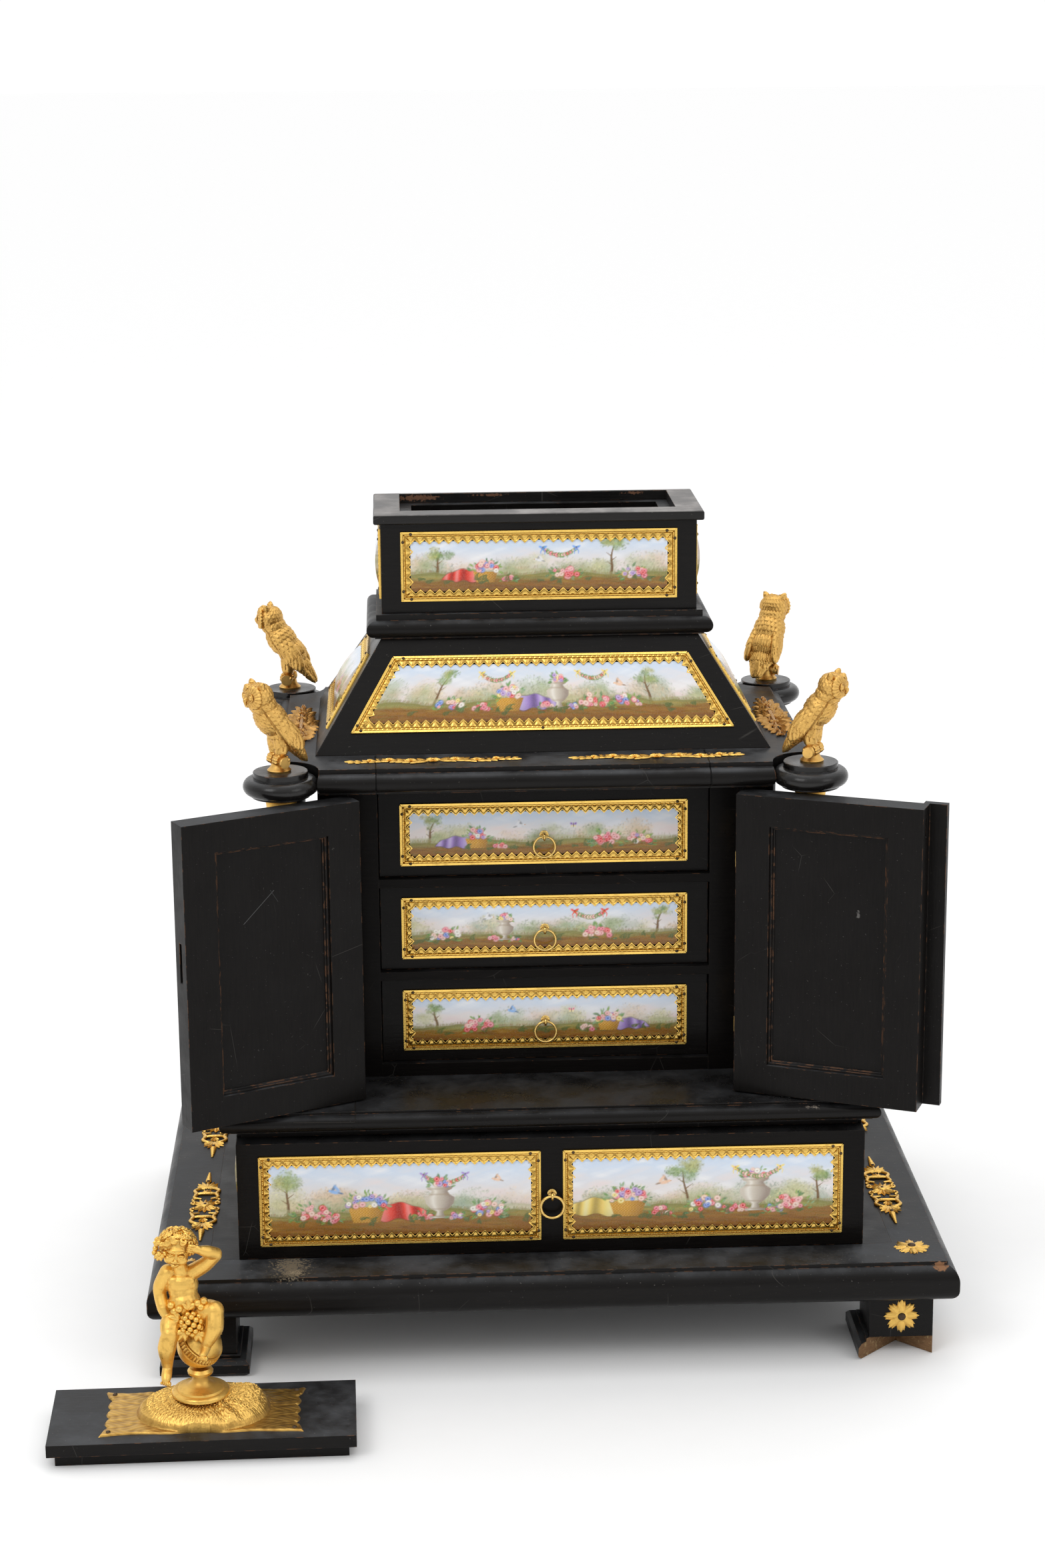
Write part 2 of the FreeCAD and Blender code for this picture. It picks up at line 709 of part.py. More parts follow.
def add_columns():
    """Four turned columns with gilt bases and capitals, from the slab to the cornice ears."""
    foot = f"({SLAB_TOP} + column_base_height)"
    neck = f"({CORNICE_FOOT} - capital_height)"
    shaft = turned("ColumnShaft", [("0", neck), ("column_radius", neck), ("column_radius", foot),
                                   ("0", foot)])
    base = rounds("ColumnBase", 12, [
        (SLAB_TOP, "column_base_radius"),
        (f"{foot} - column_base_height/2", "column_base_radius"),
        (foot, "column_radius"),
    ])
    disc = f"({CORNICE_FOOT} - capital_disc_thickness)"
    capital = rounds("ColumnCapital", 12, [
        (neck, "column_radius"),
        (disc, "capital_radius"),
        (disc, "capital_disc"),
        (CORNICE_FOOT, "capital_disc"),
    ])
    shafts = []
    mounts = []
    for side, sign in SIDES:
        for end, way in (("Front", -1), ("Back", 1)):
            place = (f"{sign}*column_across", f"{way}*column_along")
            shafts.append(group(f"Shaft{end}{side}", [shaft], *place))
            mounts.append(group(f"ShaftMounts{end}{side}", [base, capital], *place))
    node(group("Columns", shafts), "columns")
    node(group("ColumnMounts", mounts), "column_mounts")


def add_cornice():
    """The cornice board between four turned ears that cap the columns."""
    profile = nosed(CORNICE_TOP, "cornice_drop", "cornice_step", "cornice_round", "cornice_nose",
                    CORNICE_FOOT)
    board = moulded("CorniceBoard", "cornice_width/2", "cornice_depth/2", "cornice_nose + overrun", profile)
    rim = f"({CORNICE_TOP} - ear_drop)"
    inner = "(ear_nose - ear_round)"
    ear = rounds("Ear", 16, [
        (CORNICE_FOOT, inner),
        (f"{rim} - 1.4*ear_round", "ear_nose"),
        (f"{rim} - 0.6*ear_round", "ear_nose"),
        (rim, inner),
        (rim, "ear_disc"),
        (CORNICE_TOP, "ear_disc"),
    ])
    ears = []
    holes = []
    for side, sign in SIDES:
        for end, way in (("Front", -1), ("Back", 1)):
            place = (f"{sign}*column_across", f"{way}*column_along")
            ears.append(group(f"Ear{end}{side}", [ear], *place))
            holes.append(rod(f"EarHole{end}{side}", "ear_nose", "cornice_thickness + 2*overrun", *place,
                             z=f"{CORNICE_FOOT} - overrun"))
    node(cut("CornicePlate", board, *holes), "cornice_board")
    node(group("CorniceEars", ears), "cornice_ears")


def add_roof():
    """The hipped roof: four sloping panels mitred at the hips, hollow inside."""
    foot = ("roof_foot_width/2", "roof_foot_depth/2")
    top = ("roof_top_width/2", "roof_top_depth/2")

    def frustum(name, inset, grow):
        piece = doc.addObject("Part::Wedge", name)
        rise = f"(roof_rise + 2*{grow})"
        spans = {"Xmin": f"-({foot[0]} - {inset})", "Xmax": f"{foot[0]} - {inset}",
                 "X2min": f"-({top[0]} - {inset})",
                 "X2max": f"{top[0]} - {inset}", "Zmin": f"-({foot[1]} - {inset})",
                 "Zmax": f"{foot[1]} - {inset}",
                 "Z2min": f"-({top[1]} - {inset})", "Z2max": f"{top[1]} - {inset}", "Ymin": "0", "Ymax": rise}
        for side, size in spans.items():
            piece.setExpression(side, bound(size))
        return group(f"{name}Stood", [piece], z=f"{CORNICE_TOP} - {grow}", turn="90", axis=(1, 0, 0))

    outer = frustum("RoofOuter", "0", "0")
    hollow = frustum("RoofInner", "roof_panel", "0")
    shell = cut("RoofShell", outer, hollow)
    hip = f"(({foot[0]} - {top[0]})/({foot[1]} - {top[1]}))"
    sectors = []
    for name, turn in (("Front", "0"), ("Back", "180")):
        plan = wedge(f"RoofSector{name}", middle(f"{foot[0]} + overrun*{hip}"),
                     middle(f"{top[0]} - roof_panel*{hip}"), (f"-({foot[1]} + overrun)",
                                                              f"-({top[1]} - roof_panel)"),
                     (f"{CORNICE_TOP} - overrun", f"{ROOF_TOP} + overrun"))
        sectors.append(group(f"RoofHip{name}", [plan], turn=turn))
    panels = [joined("MultiCommon", f"RoofPanel{index}", [shell, sector])
              for index, sector in enumerate(sectors)]
    node(group("RoofPanels", [*panels, cut("RoofEnds", shell, *sectors)]), "roof_panels")


def add_box():
    """The open box on the roof: a moulded plinth, four walls and a rim that leaves a ledge."""
    profile = nosed(PLINTH_TOP, "plinth_drop", None, "plinth_round", "plinth_nose", ROOF_TOP)
    node(moulded("Plinth", "plinth_width/2", "plinth_depth/2", "plinth_nose + overrun", profile),
         "box_plinth")
    half = "(box_width/2)"
    deep = "(box_depth/2)"
    level = (PLINTH_TOP, BOX_TOP)
    walls = [
        box("BoxFront", middle(half), (f"-{deep}", f"box_front_wall - {deep}"), level),
        box("BoxRear", middle(half), (f"{deep} - box_back_wall", deep), level),
    ]
    walls += [box(f"Box{side}", across(sign, f"{half} - box_side_wall", half),
                  (f"box_front_wall - {deep}", f"{deep} - box_back_wall"), level) for side, sign in SIDES]
    node(group("BoxWalls", walls), "box_walls")
    edge = [
        ("0", RIM_TOP),
        ("rim_overhang - rim_drop", RIM_TOP),
        ("rim_overhang", f"{RIM_TOP} - rim_drop", "round", f"{RIM_TOP} - rim_drop"),
        ("rim_overhang", f"{BOX_TOP} + rim_drop"),
        ("rim_overhang - rim_drop", BOX_TOP, "round", f"{BOX_TOP} + rim_drop"),
    ]
    slab = moulded("RimBoard", "box_width/2", "box_depth/2", "rim_overhang + overrun", edge)
    inner_x = f"({half} - box_side_wall + box_ledge)"
    inner_front = f"(box_front_wall - box_ledge - {deep})"
    inner_back = f"({deep} - box_back_wall + box_ledge)"
    reach = "(box_width/2 + rim_overhang + overrun)"
    high = (f"{BOX_TOP} - overrun", f"{RIM_TOP} + overrun")
    zones = [
        box("RimFront", middle(reach), (f"-{reach}", inner_front), high),
        box("RimBack", middle(reach), (inner_back, reach), high),
    ]
    zones += [box(f"Rim{side}", across(sign, inner_x, reach), (inner_front, inner_back), high)
              for side, sign in SIDES]
    lengths = [joined("MultiCommon", f"RimLength{index}", [slab, zone]) for index, zone in enumerate(zones)]
    node(group("BoxRim", lengths), "box_rim")


def add_cabinet_plaques():
    """The enamel plaques and brass strips on the roof, the top box and the lower case."""
    slope_angle = "(atan2(roof_rise; (roof_foot_depth - roof_top_depth)/2)/(1 deg))"
    end_angle = "(atan2(roof_rise; (roof_foot_width - roof_top_width)/2)/(1 deg))"
    plaque_up = "(roof_plaque_below + roof_plaque_height/2)"
    box_up = f"({PLINTH_TOP} + box_plaque_above)"
    case_up = f"({PLATE_TOP} + case_plaque_above)"
    box_plaque = "(box_width - 2*box_plaque_margin)"
    slope_out = f"(roof_foot_depth/2 - {plaque_up}*cos({slope_angle}))"
    end_out = f"(roof_foot_width/2 - {plaque_up}*cos({end_angle}))"
    slope_up = f"({CORNICE_TOP} + {plaque_up}*sin({slope_angle}))"
    end_up = f"({CORNICE_TOP} + {plaque_up}*sin({end_angle}))"
    places = []
    for way, turn in ((-1, "0"), (1, "180")):
        places.append((f"RoofSlope{turn}", "roof_plaque_foot", "roof_plaque_top", "roof_plaque_height",
                       "plaque_crown", ("0", f"{way}*{slope_out}", slope_up, turn, f"-(90 - {slope_angle})")))
        places.append((f"BoxLong{turn}", box_plaque, box_plaque, "box_plaque_height",
                       "plaque_crown", ("0", f"{way}*box_depth/2", box_up, turn)))
    for sign, turn in ((-1, "-90"), (1, "90")):
        name = turn.replace("-", "Left")
        places.append((f"RoofEnd{name}", "roof_side_plaque_foot", "roof_side_plaque_top",
                       "roof_plaque_height",
                       "side_plaque_crown", (f"{sign}*{end_out}", "0", end_up, turn, f"-(90 - {end_angle})")))
        places.append((f"BoxShort{name}", "box_side_plaque_width", "box_side_plaque_width",
                       "box_plaque_height",
                       "side_plaque_crown", (f"{sign}*box_width/2", "0", box_up, turn)))
        places.append((f"CaseEnd{name}", "case_plaque_width", "case_plaque_width", "case_plaque_height",
                       "side_plaque_crown", (f"{sign}*case_width/2", "base_front_thickness/2", case_up,
                                             turn)))
    enamels = []
    frames = []
    for name, foot, top, height, crown, place in places:
        enamels.append(seat(f"{name}Seat", [plaque(name, foot, top, height, crown)], *place))
        frames.append(seat(f"{name}Frame", strip_frame(name, foot, top, height), *place))
    node(group("CabinetPlaques", enamels), "cabinet_plaques")
    node(group("CabinetStrips", frames), "cabinet_plaque_strips")


def add_flat_mounts():
    """The gilt rosettes, the spindle shaped base mounts and the cornice garlands."""
    rosette_x = "(base_width/2 - rosette_inset_across)"
    rosette_y = "(base_depth/2 - rosette_inset_along)"
    layers = [
        prism("RosetteOuter", 8, "rosette_radius", "rosette_thickness"),
        prism("RosetteInner", 6, "rosette_radius*0.62", "rosette_thickness*2"),
        prism("RosetteNail", 4, "rosette_nail", "rosette_thickness*2.6"),
    ]
    rosette = joined("MultiFuse", "Rosette", layers)
    stood = group("RosetteStood", [rosette], turn="90", axis=(1, 0, 0))
    placed = []
    for side, sign in SIDES:
        for end, way in (("Front", -1), ("Back", 1)):
            name = f"{end}{side}"
            placed.append(group(f"RosetteFlat{name}", [rosette], f"{sign}*{rosette_x}", f"{way}*{rosette_y}",
                                PLATE_TOP))
            placed.append(group(f"RosetteEnd{name}", [stood], f"{sign}*{FOOT_ACROSS}",
                                f"{way}*({FOOT_ALONG} + foot_width/2)", "rosette_up",
                                "0" if way < 0 else "180"))
            placed.append(group(f"RosetteSide{name}", [stood], f"{sign}*({FOOT_ACROSS} + foot_width/2)",
                                f"{way}*{FOOT_ALONG}", "rosette_up", f"{sign}*90"))
    node(group("Rosettes", placed), "rosettes")

    half = "spindle_length/2"
    wide = "spindle_half_width"
    height = ("0", "spindle_thickness")
    arms = []
    for name, turn in (("Near", "0"), ("Far", "180")):
        arm = wedge(f"SpindleArm{name}", middle(f"{wide}*0.15"), middle(f"{wide}*0.6"), (f"-({half})", "0"),
                    height)
        arms.append(group(f"SpindleHalf{name}", [arm], turn=turn))
    for share in (-0.42, 0, 0.42):
        reach = wide if share else f"{wide}*0.9"
        arms.append(prism(f"SpindleBoss{share}".replace("-", "Near").replace(".", ""), 8, f"{reach}*0.85",
                          "spindle_thickness", y=f"{share}*{half}"))
    for share in (-0.2, 0.2):
        name = f"SpindleBar{share}".replace("-", "Near").replace(".", "")
        arms.append(box(name, middle(wide), (f"{share}*{half} - {wide}/4", f"{share}*{half} + {wide}/4"),
                        height))
    spindle = joined("MultiFuse", "Spindle", arms)
    spindles = []
    for side, sign in SIDES:
        for end, y in (("Front", "-spindle_along"), ("Back", "spindle_along + spindle_back_shift")):
            spindles.append(group(f"Spindle{end}{side}", [spindle], f"{sign}*(base_width/2 - spindle_inset)",
                                  y,
                                  PLATE_TOP))
    node(group("BaseMounts", spindles), "base_mounts")

    garlands = []
    for name, length, width in (("Long", "garland_length", "garland_width"),
                                ("Short", "garland_side_length", "garland_side_width")):
        leaves = []
        count = 5
        for index in range(count):
            share = 2 * index / (count - 1) - 1
            size = 1 - 0.55 * abs(share)
            leaves.append(prism(f"Leaf{name}{index}", 6, f"({width})/2*{size}", "garland_thickness",
                                x=f"{share}*(({length})/2 - ({width})/2*{size})"))
        stem = box(f"Stem{name}", middle(f"({length})/2 - ({width})/8"), middle(f"({width})/8"),
                   ("0", "garland_thickness"))
        garlands.append(joined("MultiFuse", f"Garland{name}", [stem, *leaves]))
    placed = []
    for side, sign in SIDES:
        for end, way in (("Front", -1), ("Back", 1)):
            placed.append(group(f"Garland{end}{side}", [garlands[0]], f"{sign}*garland_across",
                                f"{way}*garland_along", CORNICE_TOP))
        placed.append(group(f"GarlandEnd{side}", [garlands[1]], f"{sign}*garland_side_across", "0",
                            CORNICE_TOP,
                            "90"))
    node(group("CorniceMounts", placed), "cornice_mounts")


def add_owls():
    """Four cast owls leaning forward on their perches, one on each ear."""
    wide = "owl_body_width"
    tall = "owl_height"
    tail = "owl_tail_reach"
    reach = "owl_reach"
    body = [
        ("0", tail, f"{tall}*0.1", f"{wide}*0.22", f"{wide}*0.14"),
        ("0", f"{tail}*0.62", f"{tall}*0.27", f"{wide}*0.55", f"{wide}*0.45"),
        ("0", f"{tail}*0.22", f"{tall}*0.4", f"{wide}*0.92", f"{wide}*0.85"),
        ("0", f"-{reach}*0.3", f"{tall}*0.58", wide, f"{wide}*0.95"),
        ("0", f"-{reach}*0.72", f"{tall}*0.72", f"{wide}*0.82", f"{wide}*0.72"),
        ("0", f"-{reach}*0.9", f"{tall}*0.79", "owl_head*0.95", "owl_head*0.85"),
        ("0", f"-{reach}", f"{tall}*0.87", "owl_head", "owl_head*0.95"),
        ("0", f"-{reach}", f"{tall}*0.96", "owl_head*0.72", "owl_head*0.62"),
    ]
    perch = [
        ("0", "0", "0", "owl_perch*0.8", "owl_perch*0.7"),
        ("0", "0", "owl_perch*0.7", "owl_perch", "owl_perch*0.9"),
        ("0", "-owl_perch*0.2", "owl_perch*1.7", "owl_perch*0.7", "owl_perch*0.6"),
    ]
    beak = [
        ("0", f"-{reach} - owl_head*1.15", f"{tall}*0.8", "owl_head*0.06", "owl_head*0.06"),
        ("0", f"-{reach} - owl_head*0.7", f"{tall}*0.88", "owl_head*0.3", "owl_head*0.3"),
    ]
    pieces = [stack("OwlBody", 8, body), stack("OwlPerch", 6, perch), stack("OwlBeak", 4, beak)]
    pieces.append(prism("OwlLog", 6, "owl_perch*0.45", "owl_perch*2.3", x="-owl_perch*1.15",
                        z="owl_perch*0.85",
                        turn="90", axis=(0, 1, 0)))
    for side, sign in SIDES:
        ear = [
            (f"{sign}*owl_head*0.5", f"-{reach}", f"{tall}*0.9", "owl_head*0.36", "owl_head*0.3"),
            (f"{sign}*owl_head*0.8", f"-{reach}", tall, "owl_head*0.05", "owl_head*0.05"),
        ]
        wing = [
            (f"{sign}*{wide}*0.3", f"{tail}*0.92", f"{tall}*0.16", f"{wide}*0.18", f"{wide}*0.14"),
            (f"{sign}*{wide}*0.78", f"{tail}*0.3", f"{tall}*0.42", f"{wide}*0.34", f"{wide}*0.6"),
            (f"{sign}*{wide}*0.82", f"-{reach}*0.45", f"{tall}*0.66", f"{wide}*0.28", f"{wide}*0.5"),
        ]
        pieces.append(prism(f"OwlLeg{side}", 4, "owl_perch*0.36", f"{tall}*0.3", x=f"{sign}*owl_perch*0.42",
                            y="-owl_perch*0.1", z="owl_perch"))
        pieces.append(stack(f"OwlEar{side}", 4, ear))
        pieces.append(stack(f"OwlWing{side}", 4, wing))
    owl = joined("MultiFuse", "Owl", pieces)
    turns = {"Frontleft": "owl_front_left_turn", "Frontright": "owl_front_right_turn",
             "Backleft": "owl_back_left_turn", "Backright": "owl_back_right_turn"}
    placed = []
    for side, sign in SIDES:
        for end, way in (("Front", -1), ("Back", 1)):
            placed.append(group(f"Owl{end}{side}", [owl], f"{sign}*column_across", f"{way}*column_along",
                                CORNICE_TOP,
                                turns[f"{end}{side}"]))
    node(group("Owls", placed), "owls")


def ring_eye(name, y, z, wall):
    """A staple's eye in front of a drawer front, its hole across, on a square shank from the wall."""
    eye = locate(hoop(f"{name}Eye", "eye_radius", "eye_wire", 10, 5), y=f"{y} - eye_reach", z=z)
    shank = box(f"{name}Shank", middle(SHANK_HALF), (f"{y} - eye_reach + eye_radius", wall),
                (f"{z} - {SHANK_HALF}", f"{z} + {SHANK_HALF}"))
    return joined("MultiFuse", f"{name}Staple", [eye, shank])


def ring_pull(name, label, radius, wire, x, y, z):
    """A ring that hangs in its eye, in a plane parallel to the drawer front."""
    loop = group(f"{name}Stood", [hoop(name, radius, wire, 20, 6)], turn="90")
    node(group(f"{name}Place", [loop], x, f"{y} - eye_reach", f"{z} - {radius}"), label)


def tray(name, half, front, depth, foot, height, wall, bottom):
    """A drawer's two sides, its back and its bottom board between them."""
    back = f"{front} + {depth}"
    inner = f"({half} - {wall})"
    pieces = [box(f"{name}{side}", across(sign, inner, half), (front, back), (foot, f"{foot} + {height}"))
              for side, sign in SIDES]
    pieces.append(box(f"{name}Rear", middle(inner), (f"{back} - {wall}", back), (foot, f"{foot} + {height}")))
    pieces.append(box(f"{name}Floor", middle(inner), (front, f"{back} - {wall}"),
                      (foot, f"{foot} + {bottom}")))
    return group(name, pieces)


def add_small_drawers(floors):
    """Three small drawers, each a front, a tray, a plaque, brass mounts and a ring."""
    face = "(nest_setback + drawer_recess - carcass_depth/2)"
    inner = "(carcass_width/2 - carcass_side - nest_post - slide_gap)"
    behind = f"({face} + drawer_front_thickness)"
    depth = f"(carcass_depth/2 - carcass_back - drawer_tray_back_gap - {behind})"
    width = f"(2*({inner} - drawer_plaque_margin))"
    for label, floor in zip(("bottom", "middle", "top"), floors):
        foot = f"({floor} + seat_gap)"
        centre = f"({floor} + nest_opening/2)"
        name = label.capitalize()
        node(box(f"{name}Front", middle(inner), (face, behind),
                 (foot, f"{floor} + nest_opening - slide_gap")),
             f"{label}_drawer_front")
        node(tray(f"{name}Tray", inner, behind, depth, foot, "drawer_tray_height", "drawer_tray_side",
                  "drawer_tray_bottom"), f"{label}_drawer_tray")
        sizes = (width, width, "drawer_plaque_height")
        hole = rod(f"{name}EyeHole", f"{SHANK_HALF}*sqrt(2) + eye_hole_gap", "2*overrun", y="overrun",
                   z="small_eye_above", turn="90", axis=(1, 0, 0))
        pierced = cut(f"{name}Pierced", plaque(f"{name}Plaque", *sizes, "plaque_crown"), hole)
        node(seat(f"{name}Seat", [pierced], y=face, z=centre), f"{label}_drawer_plaque")
        eye = f"({centre} + small_eye_above)"
        strips = seat(f"{name}Frame", strip_frame(f"{name}Strips", *sizes), y=face, z=centre)
        node(group(f"{name}Mounts", [strips, ring_eye(name, f"{face} - plaque_edge", eye, face)]),
             f"{label}_drawer_mounts")
        ring_pull(f"{name}Ring", f"{label}_drawer_ring", "small_ring_radius", "small_ring_wire", "0",
                  f"({face} - plaque_edge)", eye)


def add_base_drawer():
    """The wide drawer in the lower case, its front covering the whole face of the case."""
    face = "(-case_depth/2)"
    behind = f"({face} + base_front_thickness)"
    foot = f"({PLATE_TOP} + seat_gap)"
    node(box("BaseFront", middle("case_width/2"), (face, behind),
             (foot, f"{CASE_TOP} - base_front_headroom")),
         "base_drawer_front")
    inner = "(case_width/2 - case_side_thickness - slide_gap)"
    depth = f"(case_depth/2 - case_back_thickness - base_tray_back_gap - {behind})"
    node(tray("BaseTray", inner, behind, depth, foot, "base_tray_height", "base_tray_side",
              "base_tray_bottom"), "base_drawer_tray")
    sizes = ("base_plaque_width", "base_plaque_width", "base_plaque_height")
    enamels = []
    frames = []
    for side, sign in SIDES:
        place = {"x": f"{sign}*base_plaque_across", "y": face, "z": f"{PLATE_TOP} + base_plaque_above"}
        enamels.append(seat(f"BaseSeat{side}", [plaque(f"BasePlaque{side}", *sizes, "plaque_crown")],
                            **place))
        frames.append(seat(f"BaseFrame{side}", strip_frame(f"BaseStrips{side}", *sizes), **place))
    eye = f"({PLATE_TOP} + base_eye_above)"
    node(group("BasePlaques", enamels), "base_drawer_plaques")
    node(group("BaseDrawerMounts", [*frames, ring_eye("Base", face, eye, face)]), "base_drawer_mounts")
    ring_pull("BaseRing", "base_drawer_ring", "large_ring_radius", "large_ring_wire", "0", face, eye)


def hinge(name, sign, moving):
    """One leaf of each butt hinge about the pin's axis, for the door or for the carcass."""
    length = "hinge_length"
    foot = f"({SLAB_TOP} + door_gap_below)"
    top = f"({CORNICE_FOOT} - door_gap_above)"
    solids = []
    levels = (f"({foot} + hinge_from_end)", f"({top} - hinge_from_end - hinge_length)")
    for index, low in enumerate(levels):
        third = f"({length}/3)"
        if moving:
            barrel = prism(f"{name}Barrel{index}", 6, "hinge_barrel_radius", f"{third} - 2*hinge_bore_gap",
                           z=f"{low} + {third} + hinge_bore_gap")
            bore = rod(f"{name}Bore{index}", "hinge_pin_radius + hinge_bore_gap", f"{third} + 2*overrun",
                       z=f"{low} + {third} - overrun")
            x = across(sign, "hinge_barrel_radius/3", "door_edge_gap")
            leaf = box(f"{name}Leaf{index}", x, ("door_face_gap", "door_face_gap + hinge_leaf_depth"),
                       (f"{low} + {third} + hinge_bore_gap", f"{low} + 2*{third} - hinge_bore_gap"))
            solids.append(cut(f"{name}Knuckle{index}",
                              joined("MultiFuse", f"{name}Moving{index}", [barrel, leaf]),
                              bore))
            continue
        pin = rod(f"{name}Pin{index}", "hinge_pin_radius", length, z=low)
        parts = [pin]
        wall = "(carcass_width/2 - carcass_side - door_pin_across)"
        for step, start in enumerate((low, f"({low} + 2*{third})")):
            parts.append(prism(f"{name}Barrel{index}{step}", 6, "hinge_barrel_radius", third, z=start))
            span = across(-sign, f"{wall} - hinge_leaf", wall)
            parts.append(box(f"{name}Leaf{index}{step}", span, ("0", "hinge_leaf_depth"),
                             (start, f"{start} + {third}")))
        solids.append(joined("MultiFuse", f"{name}Fixed{index}", parts))
    return solids


def add_doors():
    """Two panelled doors on butt hinges, opened as they stand in the photograph."""
    foot = f"({SLAB_TOP} + door_gap_below)"
    top = f"({CORNICE_FOOT} - door_gap_above)"
    outer = "door_face_gap"
    inner = "(door_face_gap + door_thickness)"
    fixed = []
    for side, sign in SIDES:
        way = -sign
        near = "door_edge_gap"
        far = "(door_edge_gap + door_width)"
        plan = [
            (f"{way}*({near} + door_round)", outer, "cove" if way > 0 else "round", f"{outer} + door_round"),
            (f"{way}*{far}", outer),
            (f"{way}*{far}", inner),
            (f"{way}*{near}", inner),
            (f"{way}*{near}", f"{outer} + door_round"),
        ]
        pin = (f"{sign}*door_pin_across", "-door_pin_along")
        opening = f"{sign}*{side}_door_angle"

        def swung(name, pieces):
            return group(name, pieces, *pin, "0", opening)

        leaf = padded(f"Leaf{side}", "XY_Plane", plan, f"{top} - {foot}", foot)
        panel_x = across(way, f"{near} + door_stile", f"{far} - door_stile")
        panel_z = (f"{foot} + door_rail", f"{top} - door_rail")
        window = box(f"Window{side}", panel_x, (f"{outer} - overrun", f"{inner} + overrun"), panel_z)
        tools = [window]
        lock_x = across(way, f"{far} - lock_depth", f"{far} + overrun")
        lock_y = (f"{outer} + door_thickness/2 - lock_width/2", f"{outer} + door_thickness/2 + lock_width/2")
        if side == "left":
            tools.append(box("LockMortise", lock_x, lock_y,
                             (f"{foot} + lock_above_foot", f"{foot} + lock_above_foot + lock_height")))
        else:
            tools.append(box("CatchMortise", lock_x, lock_y,
                             (f"{top} - door_rail", f"{top} - door_rail + lock_height/2")))
        node(swung(f"Stiles{side}", [cut(f"Stile{side}", leaf, *tools)]), f"{side}_door_frame")
        field = box(f"Field{side}", panel_x, (outer, f"{inner} - door_panel_sink"), panel_z)
        node(swung(f"Panel{side}", [field]), f"{side}_door_panel")
        sizes = ("door_plaque_width", "door_plaque_width", "door_plaque_height")
        place = {"x": f"{way}*({near} + door_plaque_across)", "y": outer, "z": f"({foot} + {top})/2"}
        enamel = seat(f"DoorSeat{side}", [plaque(f"DoorPlaque{side}", *sizes, "plaque_crown")], **place)
        node(swung(f"Enamel{side}", [enamel]), f"{side}_door_plaque")
        strips = seat(f"DoorFrame{side}", strip_frame(f"DoorStrips{side}", *sizes), **place)
        node(swung(f"DoorMounts{side}", [strips, *hinge(f"Swing{side}", way, True)]), f"{side}_door_mounts")
        fixed.append(group(f"Hinge{side}", hinge(f"Hold{side}", way, False), *pin))
        if side == "right":
            seated = (f"{outer} - astragal_thickness", outer)
            strip_x = across(way, f"{far} + astragal_overlap - astragal_width", f"{far} + astragal_overlap")
            bar = box("AstragalBar", strip_x, seated, (foot, top))
            relief = box("AstragalRelief", across(way, far, f"{far} + astragal_overlap + overrun"),
                         (f"{outer} - seat_gap", f"{outer} + overrun"),
                         (f"{foot} - overrun", f"{top} + overrun"))
            node(swung("Astragal", [cut("AstragalStrip", bar, relief)]), "right_door_astragal")
    node(group("HingePins", fixed), "hinge_pins")


def limb(name, start, end, radius):
    """A tapering limb between two points of the figure, six sided and a little longer at both ends."""
    first, last = (FreeCAD.Vector(*(value(size) for size in point)) for point in (start, end))
    thick = value(radius)
    along = (last - first).normalize()
    side = along.cross(FreeCAD.Vector(0, 1, 0.3)).normalize()
    other = along.cross(side)
    stations = ((-0.6, 0.7), (0.0, 1.1), (0.5, 1.15), (1.0, 0.95), (1.0, 0.6))
    rings = []
    for count, (share, swell) in enumerate(stations):
        beyond = thick * (0.7 if count == len(stations) - 1 else 0)
        centre = first + along * (min(max(share, 0), 1) * (last - first).Length + beyond + min(share, 0)
                                  * thick)
        turns = [2 * math.pi * step / 6 for step in range(6)]
        rings.append([centre + (side * math.cos(turn) + other * math.sin(turn)) * thick * swell
                      for turn in turns])
    return [skin(name, rings)]


